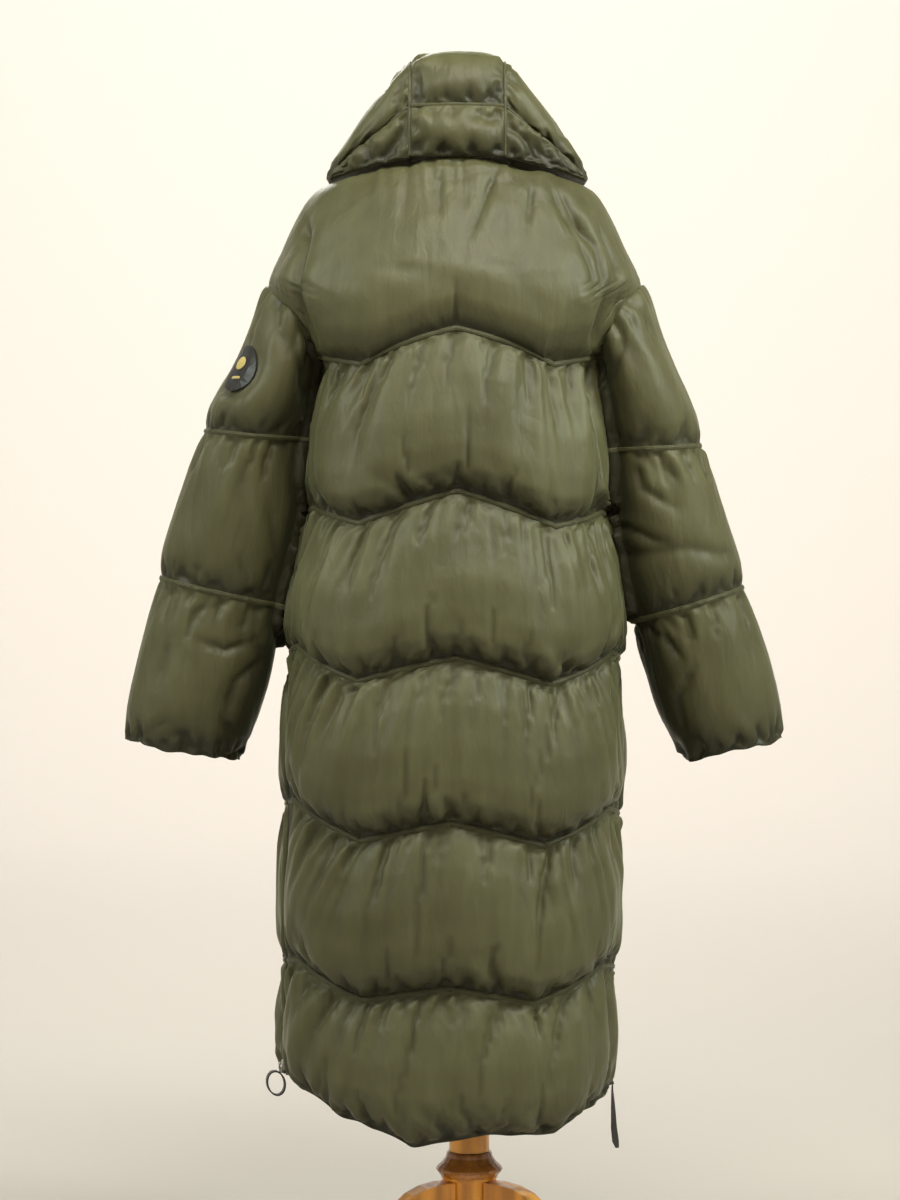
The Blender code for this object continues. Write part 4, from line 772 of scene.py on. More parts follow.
def refine(cloth):
    """Halve the grid's steps and add the fine folds, which are too narrow for the filling's own grid."""
    for name in ("inside", "out", "smooth", "outside", "rise", "lively"):
        value = halfway(getattr(cloth, name), 0, False)
        setattr(cloth, name, halfway(value, 1, cloth.closed))
    cloth.out = unit(cloth.out)
    field = fold_field(cloth, *cloth.fine) + crease_field(cloth, *CREASE_FINE)
    if not cloth.closed:
        share = np.linspace(0.0, 1.0, cloth.rise.shape[1])[None]
        field *= smooth(np.minimum(share, 1.0 - share) * cloth.rise.shape[1] / FINE_EDGE)
    field = np.maximum(field, LEAST_CLOTH - heights(cloth))
    cloth.outside = cloth.outside + cloth.out * field[..., None]
    if cloth.free_end:
        crumple_end(cloth)


def crumple_end(cloth):
    """Let a hem or a cuff run unevenly up and down and in and out."""
    rng = np.random.default_rng(int(cloth.fine[2]) + 1)
    along, up = arc_lengths(cloth.smooth), rises_up(cloth.smooth)
    width = float(along[0, -1])
    shift, swell = np.zeros_like(along), np.zeros_like(along)
    for _ in range(END_WAVES):
        turns = rng.integers(*END_TURNS)
        shift += np.sin(along / width * math.tau * turns + rng.uniform(0.0, math.tau)) / math.sqrt(turns)
        swell += np.sin(along / width * math.tau * (turns + END_MORE) + rng.uniform(0.0, math.tau))
    ends = 1.0 if cloth.closed else fade_ends(along, END_FADE)
    fall = ends * np.exp(-(up / END_REACH) ** 2)
    down = -unit(np.gradient(cloth.inside, axis=0))
    cloth.outside = (cloth.outside + down * (END_SHIFT * shift * fall)[..., None]
                     + cloth.out * (END_SWELL * swell * fall)[..., None])
    cloth.inside = cloth.inside + down * (END_SHIFT * shift * fall)[..., None]


def span_counts(stops):
    """Steps in each span, so that columns stand about CLOTH_STEP apart."""
    return [max(2, round(math.radians(abs(b - a)) * BODY_RADIUS / CLOTH_STEP))
            for a, b in zip(stops, stops[1:])]


def tier_stops(seam, sign, back):
    """The angles at which a tier's lower seam turns, and the tier's two ends."""
    if back:
        return [SIDE_SEAM_LEFT, *back_turns(seam), SIDE_SEAM_RIGHT]
    level = (seam_value(seam, "peak") + seam_value(seam + 1, "peak")) / 2
    return [abs(float(side_seam(sign, level))), *FRONT_TURNS, FRONT_END]


def tier_name(sign, back, number):
    return f"back_tier_{number}" if back else f"front_{side_name(sign)}_tier_{number}"


def make_tier(seam, sign, back):
    """One of the quilted tiers between the hem and the yoke, on the back or on one front."""
    number = len(SEAMS) - seam
    keep = ZIP_HALF + GAP if seam < ZIP_SEAM else GAP / 2
    rows = tier_rows(seam_value(seam + 1, "centre") - seam_value(seam, "centre"))
    deg, run = tier_grid(seam, sign, back, rows, span_counts(tier_stops(seam, sign, back)), keep)
    rise = pad_curve(rows, PAD_ROWS, HEM_PAD_RISE if seam == 0 else PAD_RISE)[:, None]
    puff = puff_allowed(deg, run) * rise
    if seam >= ZIP_SEAM:
        puff = np.maximum(puff, SIDE_FILL * np.sqrt(rise))
    cloth = Cloth(tier_name(sign, back, number), body(deg, run), body_out(deg, run), SEAM_WALL + puff)
    cloth.free_end = seam == 0
    fine = (HEM_TOP, HEM_LOW) if seam == 0 else (FROM_TOP, FROM_LOW)
    dress(cloth, 100 * number + (0 if back else 10 + sign), BROAD_TOP, BROAD_LOW, *fine)
    return cloth


def make_yoke(sign, back):
    """A top tier, from the armholes to the neck."""
    rows = tier_rows(YOKE_HEIGHT)
    deg, run = yoke_grid(sign, back, rows, span_counts(yoke_stops(back, FRONT_END)))
    share = np.linspace(0.0, 1.0, deg.shape[1])
    reach = np.minimum(share, 1.0 - share) if back else share
    open_cloth = smooth(reach / YOKE_CALM)[None] * np.ones(deg.shape)
    puff = puff_allowed(deg, run) * pad_curve(rows, YOKE_PAD_ROWS, YOKE_PAD_RISE)[:, None]
    puff *= 1.0 - YOKE_EDGE_FALL * (1.0 - open_cloth)
    fill_edge = (np.minimum(1.0, YOKE_EDGE_STEEP * rows)
                 * np.minimum(1.0, YOKE_EDGE_STEEP * (1.0 - rows)))
    puff = np.maximum(puff, ARM_FILL * fill_edge[:, None])
    cloth = Cloth(tier_name(sign, back, 1), body(deg, run), body_out(deg, run), SEAM_WALL + puff,
                  spare=YOKE_SPARE * at_least(YOKE_HELD_SPARE, open_cloth))
    cloth.room = cloth.room * at_least(YOKE_HELD_ROOM, open_cloth)
    if back:
        cloth.fold_in(YOKE_CREASES)
    cloth.lively = open_cloth
    cloth.upright = True
    dress(cloth, 55 + 3 * sign + (0 if back else 10), YOKE_BROAD, NOTHING, YOKE_TOP, YOKE_LOW)
    return cloth


YOKE_CREASES = in_millimetres(
    (3.5, 4, -20, 1410, -20, 1350),
    (4.5, 4.5, 45, 1414, 32, 1376, 15, 1328),
    (3.5, 4, 88, 1402, 80, 1335),
    (4.5, 4.5, 109, 1393, 131, 1335),
    (4.5, 4.5, 120, 1388, 139, 1350, 152, 1313),
    (11, 7.5, -179, 1357, -176, 1327, -183, 1288, -180, 1246, -173, 1196),
    (3.5, 5, -165, 1256, -158, 1208),
    (8.5, 6, 131, 1359, 158, 1321, 167, 1268, 159, 1210),
    (6, 5.5, 163, 1353, 185, 1299, 187, 1248),
    (5, 5, 137, 1327, 152, 1288, 152, 1246),
    (5, 5.5, 179, 1309, 175, 1256, 162, 1202),
)


def make_sleeve_tier(sign, table, number):
    """One of a sleeve's three tiers, counted from the shoulder."""
    rows = tier_rows(SLEEVE_TIER_HEIGHT)
    phi = np.linspace(0.0, 360.0, SLEEVE_ROUND + 1)[:-1][None] + 0.0 * rows[:, None]
    place = number + 1.0 - SLEEVE_KEEP + (2.0 * SLEEVE_KEEP - 1.0) * rows[:, None] + 0.0 * phi
    inner = np.maximum(0.0, -np.cos(np.radians(phi))) * (1.0 - smooth((place - ARMPIT_FROM) / ARMPIT_OVER))
    swell = pad_curve(rows, PAD_ROWS, CUFF_PAD_RISE if number == 2 else SLEEVE_PAD_RISE)
    least = SLEEVE_FLOOR * (smooth((1.0 - rows) / 0.5) if number == 0 else 1.0)
    puff = (1.0 - ARMPIT_FLAT * inner) * (least + (SLEEVE_PUFF - least) * swell)[:, None]
    cloth = Cloth(f"sleeve_{side_name(sign)}_tier_{number + 1}", sleeve(table, sign, phi, place),
                  sleeve_out(table, sign, phi, place), SEAM_WALL + puff, closed=True, spare=SLEEVE_SPARE)
    cloth.lively = 1.0 - inner
    cloth.free_end = number == 2
    dress(cloth, 400 + 20 * sign + number, SLEEVE_BROAD, SLEEVE_BROAD_LOW, SLEEVE_TOP, SLEEVE_LOW)
    cloth.fold_in(SLEEVE_CREASES[sign])
    if sign < 0 and number == 0:
        calm_under_badge(cloth)
    return cloth


def calm_under_badge(cloth):
    """Keep the cloth plain under the badge, and a little sunk, so that the badge shows whole."""
    middle = (np.array(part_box("sleeve_badge")[0]) + np.array(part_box("sleeve_badge")[1])) / 2
    calm = smooth((np.linalg.norm(cloth.smooth - middle, axis=-1) - BADGE_CALM) / BADGE_FADE)
    cloth.room = cloth.room * calm
    cloth.spare = cloth.spare * calm
    cloth.lively = cloth.lively * calm
    cloth.outside = cloth.smooth + (cloth.outside - cloth.smooth) * calm[..., None]
    cloth.press(-BADGE_SINK * (1.0 - calm))


SLEEVE_CREASES = {
    -1: in_millimetres(
        (7, 5, -211, 1268, -193, 1247, -189, 1197),
        (4, 5.5, -221, 1275, -211, 1197),
        (3.5, 5, -202, 1223, -200, 1137),
        (3, 5, -238, 1015, -231, 942),
        (4, 4, -270, 947, -263, 920),
        (4, 4, -238, 942, -243, 915),
        (5, 5.5, -260, 843, -289, 832, -318, 843),
        (4.5, 5, -253, 821, -282, 793, -294, 758),
        (3.5, 5, -319, 893, -329, 845),
        (3, 6, -350, 845, -363, 784),
        (4, 5, -282, 720, -299, 750),
        (3.5, 4.5, -375, 729, -353, 745),
    ),
    1: in_millimetres(
        (5, 4.5, 221, 1243, 234, 1197),
        (5.5, 4.5, 203, 1218, 202, 1168),
        (5, 4.5, 181, 1197, 193, 1162),
        (4.5, 5, 164, 1168, 181, 1134),
        (4, 4, 250, 1101, 252, 1081),
        (3.5, 4, 207, 1107, 203, 1081),
        (9.5, 6, 167, 1036, 180, 1020, 206, 1001),
        (6, 4.5, 221, 985, 241, 971, 257, 965),
        (4, 4.5, 189, 979, 208, 986, 223, 979),
        (5, 6, 220, 1065, 231, 1032, 263, 1007),
        (3.5, 4, 258, 1059, 270, 1032),
        (4, 10, 190, 947, 231, 952, 280, 957, 337, 942),
        (5, 5, 223, 845, 237, 815, 235, 784),
        (4.5, 5, 257, 852, 284, 820),
        (5, 6, 196, 811, 223, 771, 218, 723),
        (4.5, 5.5, 296, 811, 284, 771, 296, 729),
        (4, 4.5, 235, 717, 257, 737),
    ),
}


HOOD_CREASES = in_millimetres(
    (12.5, 6, -60, 1474, -74, 1452, -86, 1436, -91, 1415),
    (6, 5, -112, 1452, -104, 1432, -120, 1412),
    (5, 5, -128, 1430, -146, 1408),
    (12.5, 5.5, 85, 1456, 108, 1430, 124, 1405),
    (7, 5, 52, 1482, 78, 1458, 94, 1432, 100, 1412),
    (6, 5, 112, 1448, 140, 1420, 152, 1402),
)


def make_hood_strip():
    """The hood's centre strip in its three lengths."""
    across = np.linspace(-1.0, 1.0, HOOD_COLUMNS)[None]
    for name, start, end, length in (("hood_centre_lower", 0.0, STRIP_SEAM, 0.07),
                                     ("hood_centre_upper", STRIP_SEAM, STRIP_FOLD, 0.17),
                                     ("hood_centre_front", STRIP_FOLD, 1.0, 0.18)):
        rows = tier_rows(length)
        place = (start + HOOD_KEEP + (end - start - 2.0 * HOOD_KEEP) * rows)[:, None] + 0.0 * across
        wide = across + 0.0 * place
        swell = (1.0 - np.abs(wide) ** STRIP_SQUARE) * (np.sin(np.pi * rows) ** HOOD_ROUND)[:, None]
        cloth = Cloth(name, strip_point(wide, place), strip_out(wide, place),
                      SEAM_WALL + HOOD_FULL * np.nan_to_num(swell), spare=STRIP_SPARE)
        cloth.gathered_ends = True
        yield cloth


def make_hood_side(sign, which, panel, height, length, front_end, top_end):
    """One of the two panels on a side of the hood."""
    rows = tier_rows(height)
    share = np.linspace(0.0, 1.0, round(length / CLOTH_STEP))
    along = np.clip(share, SIDE_KEEP, 1.0 - front_end)[None] + 0.0 * rows[:, None]
    held = (SIDE_KEEP + (1.0 - SIDE_KEEP - top_end) * rows)[:, None] + 0.0 * along
    out = facing(lambda a, b: panel(sign, a, b), held, along, *PANEL_PROBE) * -sign
    ends = np.minimum(1.0, np.minimum(share * PANEL_ENDS, (1.0 - share) * PANEL_ENDS))[None]
    swell = (np.sin(np.pi * rows) ** HOOD_ROUND)[:, None] * ends
    cloth = Cloth(f"hood_side_{side_name(sign)}_{which}", panel(sign, held, along), out,
                  SEAM_WALL + HOOD_FULL * np.nan_to_num(swell), spare=PANEL_SPARE)
    cloth.room = HOOD_ROOM * swell
    if which == "lower":
        cloth.fold_in(HOOD_CREASES)
    return cloth


def make_hood_pieces():
    """The hood's seven pieces with their folds."""
    made = list(make_hood_strip())
    for sign in (-1, 1):
        made.append(make_hood_side(sign, "lower", side_lower, 0.07, 0.13, SIDE_KEEP, SIDE_KEEP))
        made.append(make_hood_side(sign, "upper", side_upper, 0.10, 0.30, 0.0, 0.002))
    for number, cloth in enumerate(made):
        dress(cloth, 700 + number, HOOD_BROAD, HOOD_BROAD, HOOD_FINE, HOOD_FINE)
    return made


# ---------------------------------------------------------------- filling the cloth
def grid_faces(rows, cols, closed, offset=0):
    """Four-sided faces of a grid whose points are counted row by row."""
    r, c = np.meshgrid(np.arange(rows - 1), np.arange(cols if closed else cols - 1), indexing="ij")
    n = (c + 1) % cols
    corners = [r * cols + c, r * cols + n, (r + 1) * cols + n, (r + 1) * cols + c]
    return np.stack(corners, -1).reshape(-1, 4) + offset


def outward(cloth):
    """True if the grid's own winding already faces out."""
    p = cloth.outside
    r, c = p.shape[0] // 2, p.shape[1] // 4
    normal = np.cross(p[r, c + 1] - p[r, c], p[r + 1, c] - p[r, c])
    return float(np.dot(normal, cloth.out[r, c])) > 0


def grid_pairs(piece, offset):
    """Pairs of points that the cloth's threads join, in sets that share no point, with their lengths."""
    rows, cols = piece.rise.shape
    at = np.arange(rows * cols).reshape(rows, cols) + offset
    flat = piece.smooth.reshape(-1, 3)
    height = np.linspace(0.0, 1.0, rows)[:, None] + 0.0 * at
    near_seam = np.abs(2.0 * height - 1.0) ** 1.5
    spare = piece.spare * (SPARE_MIDDLE + (SPARE_SEAM - SPARE_MIDDLE) * near_seam)
    spare = np.concatenate([spare, spare[:, :2]], axis=1)
    right = np.roll(at, -1, 1) if piece.closed else at[:, 1:]
    left = at if piece.closed else at[:, :-1]
    two_right = np.roll(at, -2, 1) if piece.closed else at[:, 2:]
    two_left = at if piece.closed else at[:, :-2]
    width = left.shape[1]
    sets = []

    def put(a, b, grow_a, stiffness, one_way=False):
        lengths = np.linalg.norm(flat[b.ravel() - offset] - flat[a.ravel() - offset], axis=1)
        sets.append((a.ravel(), b.ravel(), lengths * grow_a.ravel(), stiffness, one_way))

    for k in (0, 1):
        put(left[:, k::2], right[:, k::2], 1.0 + spare[:, :width][:, k::2], THREAD_HOLD)
    for k in (0, 1):
        put(at[:-1][k::2], at[1:][k::2], np.full(at[:-1][k::2].shape, 1.0 + SPARE_UP), THREAD_HOLD)
    for k in (0, 1):
        for low, high in ((left, right), (right, left)):
            put(low[:-1][k::2], high[1:][k::2], 1.0 + SLANT_SPARE * spare[:-1, :width][k::2], SLANT_HOLD)
    for k in (0, 1):
        chosen = (np.arange(two_left.shape[1]) // 2) % 2 == k
        grow = 1.0 + BEND_SPARE * spare[:, :two_left.shape[1]][:, chosen]
        put(two_left[:, chosen], two_right[:, chosen], grow, BEND_ROUND, True)
        chosen = (np.arange(rows - 2) // 2) % 2 == k
        put(at[:-2][chosen], at[2:][chosen], np.ones(at[:-2][chosen].shape), BEND_UP, True)
    return sets


def face_out(pieces, points):
    """The way out of the cloth at each point, as it lies now."""
    out = np.empty_like(points)
    offset = 0
    for piece in pieces:
        rows, cols = piece.rise.shape
        grid = points[offset:offset + rows * cols].reshape(rows, cols, 3)
        if piece.closed:
            across = np.roll(grid, -1, 1) - np.roll(grid, 1, 1)
        else:
            across = np.gradient(grid, axis=1)
        normal = np.cross(across, np.gradient(grid, axis=0))
        out[offset:offset + rows * cols] = unit(normal * piece.way).reshape(-1, 3)
        offset += rows * cols
    return out


def joined_threads(pieces, free):
    """The threads of all pieces in shared sets, each with the share that its two ends give way."""
    offset, joined = 0, None
    for piece in pieces:
        sets = grid_pairs(piece, offset)
        joined = [[part] for part in sets] if joined is None else [a + [b] for a, b in zip(joined, sets)]
        offset += piece.rise.size
    threads = []
    for group in joined:
        a, b, length = (np.concatenate([part[k] for part in group]) for k in range(3))
        weight = np.maximum(free[a] + free[b], 1.0)
        threads.append((a, b, length, (free[a] / weight)[:, None], (free[b] / weight)[:, None],
                        group[0][3], group[0][4]))
    return threads


def fill(pieces):
    """Settle the spare cloth: sewn edges held, down pushing out, threads keeping their length."""
    points, inside, out = (np.concatenate([getattr(piece, name).reshape(-1, 3) for piece in pieces])
                           for name in ("outside", "inside", "out"))
    held, rise, room = (np.concatenate([getattr(piece, name).reshape(-1) for piece in pieces])
                        for name in ("held", "rise", "room"))
    free = 1.0 - held.astype(float)
    for piece in pieces:
        piece.way = 1.0 if outward(piece) else -1.0
    threads = joined_threads(pieces, free)
    before = points.copy()
    for _ in range(FILL_STEPS):
        pushed = face_out(pieces, points) * (FILL_PUSH * free)[:, None]
        moved = points + (points - before) * FILL_DRAG * free[:, None] + pushed
        before, points = points, moved
        for a, b, length, pull_a, pull_b, stiffness, one_way in threads:
            gap = points[b] - points[a]
            size = np.sqrt(np.einsum("ij,ij->i", gap, gap)) + 1e-12
            amount = stiffness * (size - length) / size
            if one_way:
                amount = np.minimum(amount, 0.0)
            gap *= amount[:, None]
            points[a] += gap * pull_a
            points[b] -= gap * pull_b
        height = np.einsum("ij,ij->i", points - inside, out)
        over = np.maximum(0.0, height - rise - room) * FILL_PRESS
        under = np.maximum(0.0, LEAST_CLOTH - height)
        points += out * ((under - over) * free)[:, None]
    offset = 0
    for piece in pieces:
        piece.outside = points[offset:offset + piece.rise.size].reshape(piece.outside.shape)
        offset += piece.rise.size


def lean(sleeves, others):
    """Rest the sleeves' inner sides against the coat's side, just clear of it."""
    points, faces, offset = [], [], 0
    for piece in others:
        rows, cols = piece.rise.shape
        points.append(piece.outside.reshape(-1, 3))
        faces.append(grid_faces(rows, cols, piece.closed, offset))
        offset += rows * cols
    side = BVHTree.FromPolygons(np.concatenate(points).tolist(), np.concatenate(faces).tolist())
    for piece in sleeves:
        rows, cols = piece.rise.shape
        for r in range(rows - 4 if piece.name.endswith("tier_1") else rows):
            for c in range(cols):
                start, way = Vector(piece.inside[r, c]), Vector(piece.out[r, c])
                hit = side.ray_cast(start, way, LEAN_REACH)[3]
                if hit is None:
                    continue
                height = float(np.dot(piece.outside[r, c] - piece.inside[r, c], piece.out[r, c]))
                gap = hit - LEAN_CLEAR - height
                move = gap if gap < 0.0 else gap * float(smooth((LEAN_MOST - gap) / LEAN_FADE))
                piece.outside[r, c] += piece.out[r, c] * max(move, LEAN_THIN - height)


def new_object(name, data):
    made = bpy.data.objects.new(name, data)
    bpy.context.scene.collection.objects.link(made)
    return made


def rim_faces(rows, cols, closed, inner_rows):
    """Faces that close a piece's outside grid onto the fewer rows of its inside."""
    base = rows * cols
    last, inner_last = (rows - 1) * cols, base + (len(inner_rows) - 1) * cols
    rim = []
    for c in range(cols if closed else cols - 1):
        n = (c + 1) % cols
        rim.append([c, n, base + n, base + c])
        rim.append([last + n, last + c, inner_last + c, inner_last + n])
    for c in () if closed else (0, cols - 1):
        for k, (a, b) in enumerate(zip(inner_rows, inner_rows[1:])):
            loop = [r * cols + c for r in range(a, b + 1)]
            rim.append(loop + [base + (k + 1) * cols + c, base + k * cols + c])
    return rim


def stitched_mesh(piece, look):
    """A piece's outside grid closed over a plain inside, as one smooth mesh."""
    rows, cols = piece.rise.shape
    inner_rows = sorted(set(range(0, rows, INNER_STEP)) | {rows - 1})
    outer = grid_faces(rows, cols, piece.closed)
    inner = grid_faces(len(inner_rows), cols, piece.closed, rows * cols)
    if outward(piece):
        inner = inner[:, ::-1]
    else:
        outer = outer[:, ::-1]
    points = np.concatenate([piece.outside.reshape(-1, 3), piece.inside[inner_rows].reshape(-1, 3)])
    faces = outer.tolist() + inner.tolist() + rim_faces(rows, cols, piece.closed, inner_rows)
    mesh = bpy.data.meshes.new(f"{piece.name}_cloth")
    mesh.from_pydata(points.tolist(), [], faces)
    mesh.validate()
    made = new_object(f"{piece.name}_cloth", mesh)
    lay_weave(mesh, piece)
    finish_mesh(mesh, look)
    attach(made, "root")
    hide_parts(piece.name)
    return made


def point_values(mesh, name, grid):
    """Write a value for each point of the outside grid, 0 for the inside's points."""
    values = np.zeros(len(mesh.vertices), np.float32)
    values[:grid.size] = grid.ravel()
    mesh.attributes.new(name, "FLOAT", "POINT").data.foreach_set("value", values)


def lay_weave(mesh, piece):
    """Run the cloth's own directions over the outside, fanned like its folds, for the fine streaks."""
    rows, cols = piece.rise.shape
    along, up = arc_lengths(piece.smooth), rises_up(piece.smooth)
    width = float(along[:, -1].mean())
    fan = piece.fine[0].fan
    across = (along - 0.5 * width) / (1.0 + 2.0 * fan * (up[-1:] - up) / width)
    if piece.upright:
        level = piece.inside[..., 2]
        across = piece.inside[..., 0] / (1.0 + 2.0 * fan * (level.max() - level) / width)
    flat = np.zeros((len(mesh.vertices), 2))
    flat[:rows * cols] = np.stack([across.ravel(), up.ravel()], -1)
    corner = np.empty(len(mesh.loops), int)
    mesh.loops.foreach_get("vertex_index", corner)
    spots = flat[corner]
    if piece.closed:
        start = np.empty(len(mesh.polygons), int)
        mesh.polygons.foreach_get("loop_start", start)
        wrap = np.arange(rows - 1) * cols + cols - 1
        for k in range(4):
            loop = start[wrap] + k
            home = corner[loop] % cols == 0
            spots[loop[home], 0] += width * cols / (cols - 1)
    weave = mesh.uv_layers.new(name="weave")
    weave.data.foreach_set("uv", spots.astype(np.float32).ravel())
    away = np.minimum(up, STREAK_TOP * (up[-1:] - up))
    point_values(mesh, "pucker", at_least(STREAK_LEAST, np.exp(-away / STREAK_REACH)))
    # the hollow values are painted shade and painted highlight for the cloth's colour
    point_values(mesh, "hollow", painted_shade_and_highlight(piece))


def painted_shade_and_highlight(piece):
    """Painted shade in the folds' hollows, low down in each tier and on a sleeve's side beside the body;
    painted highlight on the folds' ridges.
    """
    height = heights(piece)
    level = height
    for _ in range(PAINTED_SHADE_PASSES):
        level = np.pad(level, 1, mode="edge")
        level = (level[:-2] + 2.0 * level[1:-1] + level[2:]) / 4.0
        level = (level[:, :-2] + 2.0 * level[:, 1:-1] + level[:, 2:]) / 4.0
    # painted shade in the hollows and painted highlight on the ridges, from the cloth's height against its
    # smoothed level
    fold = PAINTED_FOLD_SHADE * np.clip((height - level) / PAINTED_SHADE_RISE, -1.0, 1.0)
    # painted shade low in each tier, under the puff's overhang
    low = PAINTED_LOW_SHADE * np.exp(-(rises_up(piece.smooth) / PAINTED_LOW_SHADE_REACH) ** 2)
    tone = np.minimum(fold, PAINTED_RIDGE_HIGHLIGHT * PAINTED_FOLD_SHADE) - low
    if piece.name.startswith("sleeve"):
        side = -1.0 if "left" in piece.name else 1.0
        # painted shade on a sleeve's side that faces the body
        tone = tone - PAINTED_SIDE_SHADE * smooth((-side * piece.out[..., 0] - PAINTED_SIDE_SHADE_FROM) / PAINTED_SIDE_SHADE_OVER)
        reach = side * piece.outside[..., 0]
        near, far = reach.min(1, keepdims=True), reach.max(1, keepdims=True)
        # painted shade along the sleeve's edge nearest the body
        tone = tone - PAINTED_EDGE_SHADE * (1.0 - smooth((reach - near) / (PAINTED_EDGE_SHADE_SHARE * (far - near))))
    return tone


def finish_mesh(mesh, look):
    """Faces turned outwards, one material, smooth shading."""
    bm = bmesh.new()
    bm.from_mesh(mesh)
    bmesh.ops.recalc_face_normals(bm, faces=bm.faces)
    bm.to_mesh(mesh)
    bm.free()
    mesh.materials.append(look)
    mesh.shade_smooth()


# ---------------------------------------------------------------- sewing, teeth and trim
BAND_PROFILE = ((0.0, -0.0004), (0.05, 0.0010), (0.20, 0.0018), (0.30, 0.0012), (0.42, 0.0022),
                (0.58, 0.0022), (0.70, 0.0012), (0.80, 0.0018), (0.95, 0.0010), (1.0, -0.0004),
                (0.9, -0.0014), (0.1, -0.0014))
STITCH_LINES = (0.30, 0.70)
STITCH_STEP, STITCH_SIZE = 0.0034, (0.0027, 0.0007, 0.0006)
TOOTH_SIZE = (0.0012, 0.0026, 0.0012)
TOOTH_STEP, TOOTH_OFF = 0.0025, 0.0010
THREAD_LIFT, TOOTH_LIFT = 0.0013, 0.0003
ARM_BAND = 0.0045           # how far outside the armhole its band reaches
HOOD_BAND = 0.008           # half the width of the strip's bands, in shares of its length
PIPE_RADIUS, STRIP_PIPE_LIFT, SLANT_PIPE_LIFT = 0.0019, 0.0030, 0.0032
PIPE_PUCKER = ((0.10, 1.9, 0.0), (0.07, 0.83, 1.0))   # size, step and start of its two waves
ZIP_RISE = 0.004            # steps of the lines that the teeth stand on
CHIP_CORNERS = ((-1, -0.5, 0), (-0.6, -1, 1), (-0.6, 1, 1), (-1, 0.5, 0),
                (1, -0.5, 0), (0.6, -1, 1), (0.6, 1, 1), (1, 0.5, 0))
CHIP_FACES = ((0, 1, 2, 3), (7, 6, 5, 4), (0, 4, 5, 1), (1, 5, 6, 2), (2, 6, 7, 3), (3, 7, 4, 0))


def mesh_piece(name, points, faces, look, body_name="root"):
    mesh = bpy.data.meshes.new(name)
    mesh.from_pydata(np.asarray(points).tolist(), [], [list(face) for face in faces])
    made = new_object(name, mesh)
    finish_mesh(mesh, look)
    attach(made, body_name)
    return made


class Trim:
    """Many small closed solids gathered into one mesh."""

    def __init__(self):
        self.points, self.faces, self.count = [], [], 0

    def add(self, points, faces):
        self.points.append(points)
        self.faces += [[k + self.count for k in face] for face in faces]
        self.count += len(points)

    def loft(self, rings, closed):
        """Rings of points joined one to the next; both ends capped unless the strip runs round."""
        count, size = len(rings), len(rings[0])
        faces = []
        for r in range(count if closed else count - 1):
            n = (r + 1) % count
            for c in range(size):
                d = (c + 1) % size
                faces.append([r * size + c, n * size + c, n * size + d, r * size + d])
        if not closed:
            faces += [list(range(size)), [(count - 1) * size + c for c in reversed(range(size))]]
        self.add(np.concatenate(rings), faces)

    def chips(self, centres, along, across, out, size):
        """Small blocks with tapered ends: stitches and zip teeth."""
        long, wide, high = (whole / 2 for whole in size)
        for centre, t, b, n in zip(centres, along, across, out):
            self.add(np.array([centre + t * (x * long) + b * (y * wide) + n * (z * high)
                               for x, y, z in CHIP_CORNERS]), CHIP_FACES)

    def make(self, name, look, slot):
        return mesh_piece(name, np.concatenate(self.points), self.faces, look)


def even(points, step):
    """Places in a list of points, at an even step along the line through them."""
    lengths = np.concatenate([[0.0], np.cumsum(np.linalg.norm(np.diff(points, axis=0), axis=1))])
    count = max(2, int(lengths[-1] / step))
    targets = (np.arange(count) + 0.5) * lengths[-1] / count
    return np.interp(targets, lengths, np.arange(len(points)))


def at_places(values, places):
    low = np.minimum(places.astype(int), len(values) - 2)
    part = (places - low)[:, None]
    return values[low] * (1.0 - part) + values[low + 1] * part


def band(trim, thread, low, high, out, closed=False):
    """A stitched band laid from one line to another, and its two rows of thread."""
    across = high - low
    trim.loft([np.array([low[k] + across[k] * u + out[k] * h for u, h in BAND_PROFILE])
               for k in range(len(low))], closed)
    for u in STITCH_LINES:
        line = low + across * u + out * THREAD_LIFT
        loop, outs, crosses = (np.concatenate([values, values[:1]]) if closed else values
                               for values in (line, out, across))
        places = even(loop, STITCH_STEP)
        n = unit(at_places(outs, places))
        b = unit(at_places(crosses, places))
        thread.chips(at_places(loop, places), unit(np.cross(b, n)), b, n, STITCH_SIZE)


def cord_line(trim, line, radius, closed=False, sides=8):
    """A piped edge: a tube that puckers a little along its length."""
    t = unit(np.gradient(line, axis=0))
    side = unit(np.cross(t, np.array([0.13, 0.91, 0.37])))
    up = np.cross(t, side)
    turn = np.arange(sides) * 2.0 * np.pi / sides
    k = np.arange(len(line))
    pucker = sum((size * np.sin(k * step + phase) for size, step, phase in PIPE_PUCKER), 1.0)
    ring = side[:, None] * np.cos(turn)[:, None] + up[:, None] * np.sin(turn)[:, None]
    trim.loft(list(line[:, None] + ring * radius * pucker[:, None, None]), closed)


def chevron_turns(seam):
    """The angles at which a chevron seam turns, all round the body."""
    return [-deg for deg in reversed(FRONT_TURNS)] + back_turns(seam) + list(FRONT_TURNS)


def chevron_line(seam, start, end):
    """The two edges of a chevron seam's band between two angles, and the way out."""
    count = max(12, int(abs(end - start)))
    inner = [deg for deg in chevron_turns(seam) if min(start, end) < deg < max(start, end)]
    deg = np.unique(np.concatenate([np.linspace(start, end, count + 1), inner]))
    run = seam_height(seam, deg)
    out = body_out(deg, run)
    centre = body(deg, run) + out * SEAM_WALL
    across = unit(np.cross(unit(np.gradient(centre, axis=0)), out))
    across *= np.where(across[:, 2:] < 0.0, -1.0, 1.0)
    return centre - across * BAND_HALF, centre + across * BAND_HALF, out


